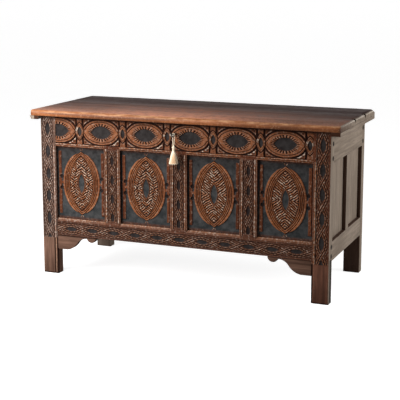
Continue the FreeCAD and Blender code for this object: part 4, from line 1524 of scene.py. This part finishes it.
@dataclass
class Bracket(PlainBoards):
    """A shaped bracket under the bottom rail, darkened along its edges and rounded arrises, with a painted
    shadow at its seam with the rail.
    """

    arris: float = 0.004
    shortest: float = 0.0
    shade_and_dust: float = 0.8
    face_shade: float = 0.0
    seam: float = 0.005
    flat: float = 0.9

    def __post_init__(self) -> None:
        """Find the seam under the bottom rail, where a shadow is painted."""
        self.seam_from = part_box("front_bottom_rail")[0].z - self.seam

    def rubbed(self, node: str) -> BMesh:
        """Round the arrises, and part the seam.

        Args:
            node: The solid's name.

        Returns:
            The mesh.
        """
        made = super().rubbed(node)
        slice_at(made, (0, 0, self.seam_from), (0, 0, 1))
        return made

    def soil_and_shade(self, mesh: Mesh) -> Array:
        """The darkening on each face: most on the edges, the rounded arrises and the painted shadow of the
        seam; the flat front gets only its own painted shade.
        """
        # Flat front faces below the seam get only the face's painted shade
        clean = [abs(face.normal.y) > self.flat and face.center.z < self.seam_from for face in mesh.polygons]
        return np.where(clean, self.face_shade, self.shade_and_dust)


@dataclass
class Cleat(PlainBoards):
    """A batten under the lid's end: painted shade on its front, but the left one is worn back and lit
    outside, with no shade painted there.
    """

    shade_and_dust: float = 1.0
    taper: float = 0.008
    # The lit outer width of the left batten, where no shade is painted
    clean: float = 0.021

    def rubbed(self, node: str) -> BMesh:
        """Copy the solid, wear back the left one's outer side and part the front where the painted shade
        begins.

        Args:
            node: The solid's name.

        Returns:
            The mesh.
        """
        made = super().rubbed(node)
        low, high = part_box(node)
        if low.x < 0:
            slice_at(made, (low.x, 0, high.z), (low.z - high.z, 0, -self.taper), Cut.CLOSED)
        slice_at(made, (low.x + self.clean if low.x < 0 else high.x - self.clean, 0, 0), (1, 0, 0))
        return made

    def soil_and_shade(self, mesh: Mesh) -> Array:
        """The painted shade and dust on each face: none on the outer part of the left batten."""
        clean = [face.center.x < CAD_BOX[0][0] + self.clean for face in mesh.polygons]
        return np.where(clean, 0.0, super().soil_and_shade(mesh))


@dataclass(frozen=True)
class Chip:
    """A corner lost at the lid's right end: its board, whether it is at the rear edge, and its size."""

    board: str
    rear: bool
    across: float
    deep: float
    down: float


@dataclass
class LidBoards:
    """The lid's three boards, uneven from wear, the front one with a rubbed nose, carrying painted shade,
    sheen and highlights.
    """

    spacing: float = 0.012
    end_cells: int = 2
    wear: float = 0.0007
    wear_pace: float = 0.6
    wear_seed: float = 9.0
    top_span: float = 0.004
    nose: float = 0.016
    lip: float = 0.0065
    edge_span: Pair = (0.001, 0.012)
    end_span: Pair = (0.001, 0.003)
    end_lip: Pair = (0.005, 0.0055)
    corner: float = 0.013
    corner_steps: tuple[float, ...] = (1.0, 0.7, 0.45, 0.25, 0.1)
    corner_steepest: float = 0.97
    corner_span: Pair = (0.3, 0.9)
    # Painted shade on the nose's rounded right corner and along its lower part
    corner_shade: float = 0.75
    dark_under: float = 0.016
    under_shade: float = 0.2
    # Where a painted sheen lies on the top, and how far it spreads
    sheen_spot: Pair = (0.0, -0.19)
    sheen_spot_half: Pair = (0.44, 0.12)
    end_slope: float = 0.6
    chip_slope: float = 0.15
    chips: tuple[Chip, ...] = (
        Chip("lid_front_board", True, 0.018, 0.014, 0.016),
        Chip("lid_middle_board", False, 0.018, 0.009, 0.016),
        Chip("lid_middle_board", True, 0.022, 0.016, 0.019),
        Chip("lid_rear_board", False, 0.022, 0.012, 0.019),
        Chip("lid_rear_board", True, 0.016, 0.032, 0.013))

    def chip(self, made: BMesh, node: str) -> None:
        """Break off the corners that are lost at the lid's right end.

        Args:
            made: The board's mesh.
            node: The board's name.
        """
        low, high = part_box(node)
        for chip in self.chips:
            if chip.board == node:
                corner = (high.x - chip.across, high.y if chip.rear else low.y, high.z)
                outward = (1 / chip.across, (1 if chip.rear else -1) / chip.deep, 1 / chip.down)
                slice_at(made, corner, outward, Cut.CLOSED)

    def build(self, node: str) -> None:
        """Make one board of the lid.

        Args:
            node: The solid that it stands for.
        """
        made = PlainBoards().rubbed(node)
        self.chip(made, node)
        low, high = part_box(node)
        slice_at(made, (0, 0, high.z - self.lip), (0, 0, 1))
        cuts = round((high.x - low.x) / self.spacing)
        inner = range(self.end_cells, cuts - self.end_cells + 1)
        steps = [low.x + i * (high.x - low.x) / cuts for i in inner]
        steps += [low.x + self.corner * step for step in self.corner_steps]
        steps += [high.x - self.corner * step for step in self.corner_steps]
        for step in steps:
            slice_at(made, (step, 0, 0), (1, 0, 0))
        finishes = [finish.material(Grain.ALONG) for finish in (LID_OAK, NOSE_OAK, PLAIN_OAK, PEG_OAK)]
        piece = finished(made, f"{node}_rubbed", *finishes)
        for face in piece.data.polygons:
            face.material_index = self.kind(face).value
        self.wear_down(piece.data, low, high)
        stand_in(piece, "lid", node)

    def kind(self, face: bpy.types.MeshPolygon) -> LidFinish:
        """Choose the finish of a face.

        Args:
            face: The face.

        Returns:
            The finish, by where the face is and points.
        """
        if min(face.normal.x, abs(face.normal.y), face.normal.z) > self.chip_slope:
            return LidFinish.CHIP
        if abs(face.normal.x) > self.end_slope:
            return LidFinish.END
        return LidFinish.NOSE if face.center.y < LID_EDGE + self.nose else LidFinish.TOP

    def wear_down(self, mesh: Mesh, low: Vector, high: Vector) -> None:
        """Press the top and the nose in unevenly, mark the rubbed front edge with a painted highlight, and
        paint shade on the nose and a sheen on the top.

        Args:
            mesh: The board's mesh.
            low: The solid's low corner.
            high: The solid's high corner.
        """
        places = points_of(mesh)
        x, y, z = places.T.copy()
        uneven = self.wear / 2 * (1 + wobble(x * self.wear_pace, y, low.y * self.wear_seed))
        front = fall(y, LID_EDGE, LID_EDGE + self.nose)
        past = np.clip((np.abs(x) - high.x + self.corner) / self.corner, 0, self.corner_steepest)
        places[:, 2] -= ease(z, high.z - self.top_span, high.z) * uneven
        places[:, 1] += front * (uneven + self.corner * (1 - np.sqrt(1 - past ** 2)))
        mesh.vertices.foreach_set("co", places.ravel())
        x, y, z = places.T
        # Painted shade where the nose's right corner rounds away, and along its lower part
        corner = ease(past, *self.corner_span) * (x > 0)
        under = fall(z - low.z, 0.0, self.dark_under)
        write_values(mesh, "dirt", front * np.maximum(self.corner_shade * corner, self.under_shade * under))
        edge = fall(high.z - z, *self.edge_span)
        ends = fall(high.x - np.abs(x), *self.end_span) * fall(high.z - z, *self.end_lip)
        # A painted sheen on the top near the front; the front edge and the ends' arrises are worn pale and
        # carry painted highlights
        across = (x - self.sheen_spot[0]) / self.sheen_spot_half[0]
        deep = (y - self.sheen_spot[1]) / self.sheen_spot_half[1]
        sheen_spot = np.exp(-across ** 2 - deep ** 2)
        write_values(mesh, "crest", np.maximum(ends, edge * np.maximum(front, sheen_spot)))
        write_values(mesh, "glint", np.maximum(ends, edge * front))
        mesh.update()


@dataclass
class FrontPegs:
    """The oak pegs of the front, cut off flush with the carving."""

    node: str = "front_pegs"
    recess: float = 0.0006

    def build(self) -> None:
        """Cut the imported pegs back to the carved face."""
        made = cad_copy(self.node)
        slice_at(made, (0, FRONT_FACE + self.recess, 0), (0, -1, 0), Cut.CLOSED, FINE_WELD)
        piece = finished(made, "front_pegs_flush", PEG_OAK.material(Grain.DEEP))
        stand_in(piece, "carcass", self.node)


@dataclass
class EndPegs:
    """The pegs of the chest's ends: some are dark, their dark end grain widened by a painted shadow disc
    round them, the rest look like the boards.
    """

    node: str = "end_pegs"
    muntin: str = "right_end_muntin"
    radius: float = 0.0095
    thickness: float = 0.0008
    segments: int = 20
    endways: float = 0.9

    def __post_init__(self) -> None:
        """Find the muntin that the pegs are told apart by."""
        self.low, self.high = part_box(self.muntin)

    def is_dark(self, place: Vector) -> bool:
        """Whether a peg is a dark one: at the front, or at the rear of the top rail."""
        return place.y < self.low.y or (place.y > self.high.y and place.z > (self.low.z + self.high.z) / 2)

    def dress(self) -> None:
        """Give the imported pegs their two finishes."""
        mesh = coat(self.node, PEG_OAK.material(Grain.DEEP), PLAIN_OAK.material(Grain.UPRIGHT))
        for face in mesh.polygons:
            kind = PegFinish.DARK if self.is_dark(face.center) else PegFinish.PLAIN
            face.material_index = kind.value

    def build(self) -> None:
        """Lay a thin dark disc, a painted shadow, round each dark peg's outer head."""
        made = bmesh.new()
        pegs = cad_copy(self.node)
        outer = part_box("front_stile_right")[1].x
        for face in pegs.faces:
            head = face.calc_center_median()
            if abs(face.normal.x) > self.endways and abs(head.x) > outer and self.is_dark(head):
                head.x = math.copysign(outer, head.x)
                bmesh.ops.create_cone(made, cap_ends=True, segments=self.segments, radius1=self.radius,
                                      radius2=self.radius, depth=self.thickness,
                                      matrix=Matrix.Translation(head) @ ENDWAYS)
        pegs.free()
        piece = finished(made, "end_peg_stains", PEG_OAK.material(Grain.DEEP))
        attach(piece, "carcass")
        log.info("end_peg_stains: on carcass")


@dataclass
class Ironwork:
    """The forged pieces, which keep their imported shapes, and the pegs of the back."""

    hinge_parts: tuple[str, ...] = ("strap", "leaf", "pin")
    dark: tuple[str, ...] = ("lock_case", "lock_bolt", "lock_spring", "lid_staple", "lid_nails",
                             "carcass_nails")

    def dress(self) -> None:
        """Give the iron its finish, and the pegs of the back theirs."""
        iron = WROUGHT_IRON.material()
        hinges = [f"hinge_{part}_{side}" for part in self.hinge_parts for side in SIDES]
        for node in (*hinges, *self.dark):
            coat(node, iron)
        coat("key", KEY_IRON.material())
        coat("back_pegs", PEG_OAK.material(Grain.DEEP))


@dataclass
class KeyTassel:
    """The silk cord looped over the key's neck, and the tassel that hangs from it."""

    diameter: float = 0.0025
    tube_length: float = 0.1088
    route: tuple[Pair, ...] = ((0.0017, -0.0465), (0.0041, -0.01), (0.0051, 0.00485),
                               (-0.0051, 0.00485), (-0.0041, -0.01), (-0.0017, -0.0465))
    roundness: int = 3
    route_order: int = 3
    route_steps: int = 12
    top: float = -0.0455
    head_radius: float = 0.0066
    head_height: float = 0.009
    head_turns: Pair = (0.02, 0.83)
    head_steps: int = 8
    neck_radius: float = 0.0042
    skirt_top: float = -0.064
    shoulder: Pair = (0.0054, -0.069)
    filling: Pair = (0.0164, -0.115)
    filling_steps: int = 40
    bindings: tuple[float, ...] = (-0.0555, -0.057, -0.0625, -0.064)
    binding_steps: int = 32
    binding_sides: int = 6
    hem: float = -0.1165
    hem_radius: float = 0.0178
    threads: int = 64
    thread_radius: float = 0.00085
    thread_sides: int = 5
    thread_steps: int = 9
    thread_sway: Pair = (0.05, 2.4)
    thread_drop: Pair = (0.0007, 5.1)
    thread_swell: float = 0.75
    smooth: float = 60.0
    # Where round the skirt, and how far down it, the painted peach shade lies
    shade_turn: float = 0.45
    shade_spread: Pair = (0.25, 0.9)
    shade_from: Pair = (0.1, 0.45)
    shade_to: Pair = (0.88, 0.96)

    def place(self, x: float, z: float, y: float = 0.0) -> Vector:
        """A point given across, up and outwards from the key's axis in the cord's plane."""
        return Vector((KEY_AXIS.x + x, CORD_PLANE + y, KEY_AXIS.z + z))

    def build(self) -> None:
        silk = TASSEL_SILK.material()
        self.tassel(silk)
        curve = bpy.data.curves.new("tassel_cord_silk", "CURVE")
        curve.dimensions = "3D"
        curve.bevel_depth = self.diameter / 2
        curve.bevel_resolution = self.roundness
        curve.use_fill_caps = True
        spline = curve.splines.new("NURBS")
        spline.points.add(len(self.route) - 1)
        for point, (x, z) in zip(spline.points, self.route):
            point.co = (*self.place(x, z), 1.0)
        spline.order_u = self.route_order
        spline.use_endpoint_u = True
        spline.resolution_u = self.route_steps
        curve.materials.append(silk)
        cord = placed("tassel_cord_silk", curve)
        stand_in(cord, "tassel", "tassel_cord")
        tuple(self.place(*self.route[0]))

    def tassel(self, silk: Material) -> None:
        """Make the bound head and the skirt of threads.

        Args:
            silk: The finish.
        """
        made = bmesh.new()
        self.core(made)
        for z in self.bindings:
            self.binding(made, z)
        for i in range(self.threads):
            self.thread(made, i)
        bmesh.ops.remove_doubles(made, verts=made.verts, dist=WELD)
        bmesh.ops.recalc_face_normals(made, faces=made.faces)
        piece = finished(made, "tassel_silk_threads", silk, smooth=self.smooth)
        self.tint(piece.data)
        stand_in(piece, "tassel", "tassel")

    def tint(self, mesh: Mesh) -> None:
        """Paint shade, as peach threads between ivory ones, on the front of the skirt's middle.

        Args:
            mesh: The tassel's mesh.
        """
        x, y, z = points_of(mesh).T
        turn = np.arctan2(x - KEY_AXIS.x, CORD_PLANE - y)
        middle = fall(np.abs(turn - self.shade_turn), *self.shade_spread)
        share = (KEY_AXIS.z - z + self.skirt_top) / (self.skirt_top - self.hem)
        write_values(mesh, "peach", middle * ease(share, *self.shade_from) * fall(share, *self.shade_to))

    def whirl(self, made: BMesh, verts: list[BMVert], edges: list[BMEdge], steps: int) -> None:
        """Spin an outline round the tassel's axis."""
        bmesh.ops.spin(made, geom=verts + edges, cent=self.place(0, 0), axis=(0, 0, 1), angle=math.tau,
                       steps=steps, use_merge=True)

    def core(self, made: BMesh) -> None:
        """Spin the head and the skirt's filling.

        Args:
            made: The tassel's mesh.
        """
        profile = [(0.0, self.top)]
        for i in range(self.head_steps + 1):
            turn = math.pi * (self.head_turns[0] + self.head_turns[1] * i / self.head_steps)
            drop = self.head_height * i / self.head_steps
            profile.append((self.head_radius * math.sin(turn), self.top - drop))
        profile += [(self.neck_radius, self.skirt_top), self.shoulder, self.filling, (0.0, self.filling[1])]
        verts = [made.verts.new(self.place(x, z)) for x, z in profile]
        edges = [made.edges.new(pair) for pair in zip(verts, verts[1:])]
        self.whirl(made, verts, edges, self.filling_steps)

    def binding(self, made: BMesh, z: float) -> None:
        """Spin one turn of the thread that binds the neck.

        Args:
            made: The tassel's mesh.
            z: Its height above the key's axis.
        """
        middle = self.place(self.neck_radius + self.thread_radius / 2, z)
        ring = bmesh.ops.create_circle(made, segments=self.binding_sides, radius=self.thread_radius,
                                       matrix=Matrix.Translation(middle) @ ACROSS)["verts"]
        edges = list({edge for vert in ring for edge in vert.link_edges})
        self.whirl(made, ring, edges, self.binding_steps)

    def thread(self, made: BMesh, number: int) -> None:
        """Draw one thread of the skirt from the neck down to the hem.

        Args:
            made: The tassel's mesh.
            number: Which thread it is.
        """
        angle = math.tau * number / self.threads
        sway, drop = (reach * math.sin(number * pace) for reach, pace in (self.thread_sway, self.thread_drop))
        path = [self.along(i / self.thread_steps, angle, sway, drop) for i in range(self.thread_steps + 1)]
        start = bmesh.ops.create_circle(made, segments=self.thread_sides, radius=self.thread_radius,
                                        cap_ends=True)["verts"]
        bmesh.ops.translate(made, verts=start, vec=path[0])
        cap = start[0].link_faces[0]
        for before, after in zip(path, path[1:]):
            cap = bmesh.ops.extrude_discrete_faces(made, faces=[cap])["faces"][0]
            bmesh.ops.translate(made, verts=cap.verts, vec=after - before)

    def along(self, share: float, angle: float, sway: float, drop: float) -> Vector:
        """Find a place on a thread.

        Args:
            share: Its share of the way down the skirt.
            angle: Where round the tassel the thread starts.
            sway: How far round it drifts.
            drop: How far it hangs past the hem.

        Returns:
            The place.
        """
        radius = blend(self.neck_radius, self.hem_radius, share ** self.thread_swell)
        turn = angle + sway * share
        z = blend(self.skirt_top, self.hem + drop, share)
        return self.place(radius * math.cos(turn), z, radius * math.sin(turn))


@dataclass(frozen=True)
class Lamp:
    """A soft square lamp: where it hangs and points, its side and its watts."""

    name: str
    place: Place
    target: Place
    size: float
    power: float

    def hang(self) -> None:
        """Put the lamp into the scene, unseen by the camera."""
        data = bpy.data.lights.new(self.name, "AREA")
        data.size = self.size
        data.energy = self.power
        lamp = placed(self.name, data)
        lamp.location = self.place
        aim = Vector(self.target) - Vector(self.place)
        lamp.rotation_euler = aim.to_track_quat("-Z", "Y").to_euler()
        lamp.visible_camera = False


@dataclass
class Studio:
    """The camera at the photograph's angle, the pale floor and soft light."""

    camera_place: Place = (1.67671, -4.13257, 1.27195)
    yaw: float = 0.38661
    pitch: float = 0.17424
    lens: float = 97.261
    shift: float = -0.1
    floor_size: float = 120.0
    floor_colour: Colour = (0.6, 0.6, 0.6)
    floor_roughness: float = 0.9
    floor_glow: float = 0.85
    haze: float = 0.11
    lamps: tuple[Lamp, ...] = (Lamp("key", (-1.16, -1.32, 1.32), (-1.0, -0.24, 0.5), 1.5, 60.0),
                               Lamp("fill", (2.7, 0.3, 0.98), (0.0, 0.0, 0.4), 1.8, 44.0))

    def build(self) -> None:
        """Set up the whole studio."""
        bpy.context.scene.view_settings.view_transform = "Standard"
        self.camera()
        self.floor()
        self.world()
        for lamp in self.lamps:
            lamp.hang()

    def camera(self) -> None:
        """Place the camera."""
        data = bpy.data.cameras.new("camera")
        data.lens = self.lens
        data.shift_y = self.shift
        camera = placed("camera", data)
        camera.location = self.camera_place
        camera.rotation_euler = (math.pi / 2 - self.pitch, 0, self.yaw)
        bpy.context.scene.camera = camera

    def floor(self) -> None:
        """Lay the pale floor, which shows white to the camera and keeps the shadow."""
        made = bmesh.new()
        bmesh.ops.create_grid(made, x_segments=1, y_segments=1, size=self.floor_size / 2)
        mesh = bpy.data.meshes.new("floor")
        made.to_mesh(mesh)
        made.free()
        shading = Shading("pale_floor")
        ray = shading.node("ShaderNodeLightPath").outputs["Is Camera Ray"]
        lift = shading.maths("MULTIPLY", ray, self.floor_glow)
        glow = shading.node("ShaderNodeEmission", {"Strength": lift}).outputs[0]
        both = shading.node("ShaderNodeAddShader", {0: shading.shader.outputs[0], 1: glow}).outputs[0]
        shading.feed(shading.tree.nodes["Material Output"].inputs["Surface"], both)
        mesh.materials.append(shading.shine(self.floor_colour, self.floor_roughness))
        placed("floor", mesh)

    def world(self) -> None:
        """Light the studio softly, and show white behind the chest."""
        world = bpy.data.worlds.new("studio")
        world.use_nodes = True
        bpy.context.scene.world = world
        sky = Nodes(world.node_tree)
        ray = sky.node("ShaderNodeLightPath").outputs
        shown = sky.maths("MAXIMUM", ray["Is Camera Ray"], ray["Is Glossy Ray"])
        seen = sky.maths("MAXIMUM", shown, ray["Is Transmission Ray"])
        back = sky.tree.nodes["Background"].inputs
        sky.feed(back["Color"], (1.0, 1.0, 1.0))
        sky.feed(back["Strength"], sky.span(seen, 0.0, 1.0, self.haze, 1.0))


def main() -> None:
    """Build every piece in order, then the studio."""
    logging.basicConfig(level=logging.INFO, format="%(name)s: %(message)s")
    KeyTassel().build()
    Frieze("front_top_rail", Grain.ALONG, seed=1.0).build()
    BottomRail("front_bottom_rail", Grain.ALONG, seed=2.0).build()
    Stile("front_stile_left", Grain.UPRIGHT, SHEEN_PAINTED_OAK, seed=3.0).build()
    Stile("front_stile_right", Grain.UPRIGHT, CARVED_OAK, seed=4.0, leg_darkening=0.15, leg_finish=RUSSET_OAK,
          leg_bead=Bead(bead=0.0002, quirk=0.0072, second_width=0.001, rubbed=0.0, worn=0.1)).build()
    for seed, word in enumerate(THIRDS, 5):
        Muntin(f"front_muntin_{word}", Grain.UPRIGHT, seed=seed).build()
    for number, rows in enumerate((2, 2, 1, 1), 1):
        FrontPanel(f"front_panel_{number}", Grain.UPRIGHT, rows=rows, seed=8.0 + number).build()
    PlainBoards().build_all()
    for word in ("front", "middle", "rear"):
        LidBoards().build(f"lid_{word}_board")
    FrontPegs().build()
    pegs = EndPegs()
    pegs.dress()
    pegs.build()
    Ironwork().dress()
    Studio().build()


if __name__ == "__main__":
    main()
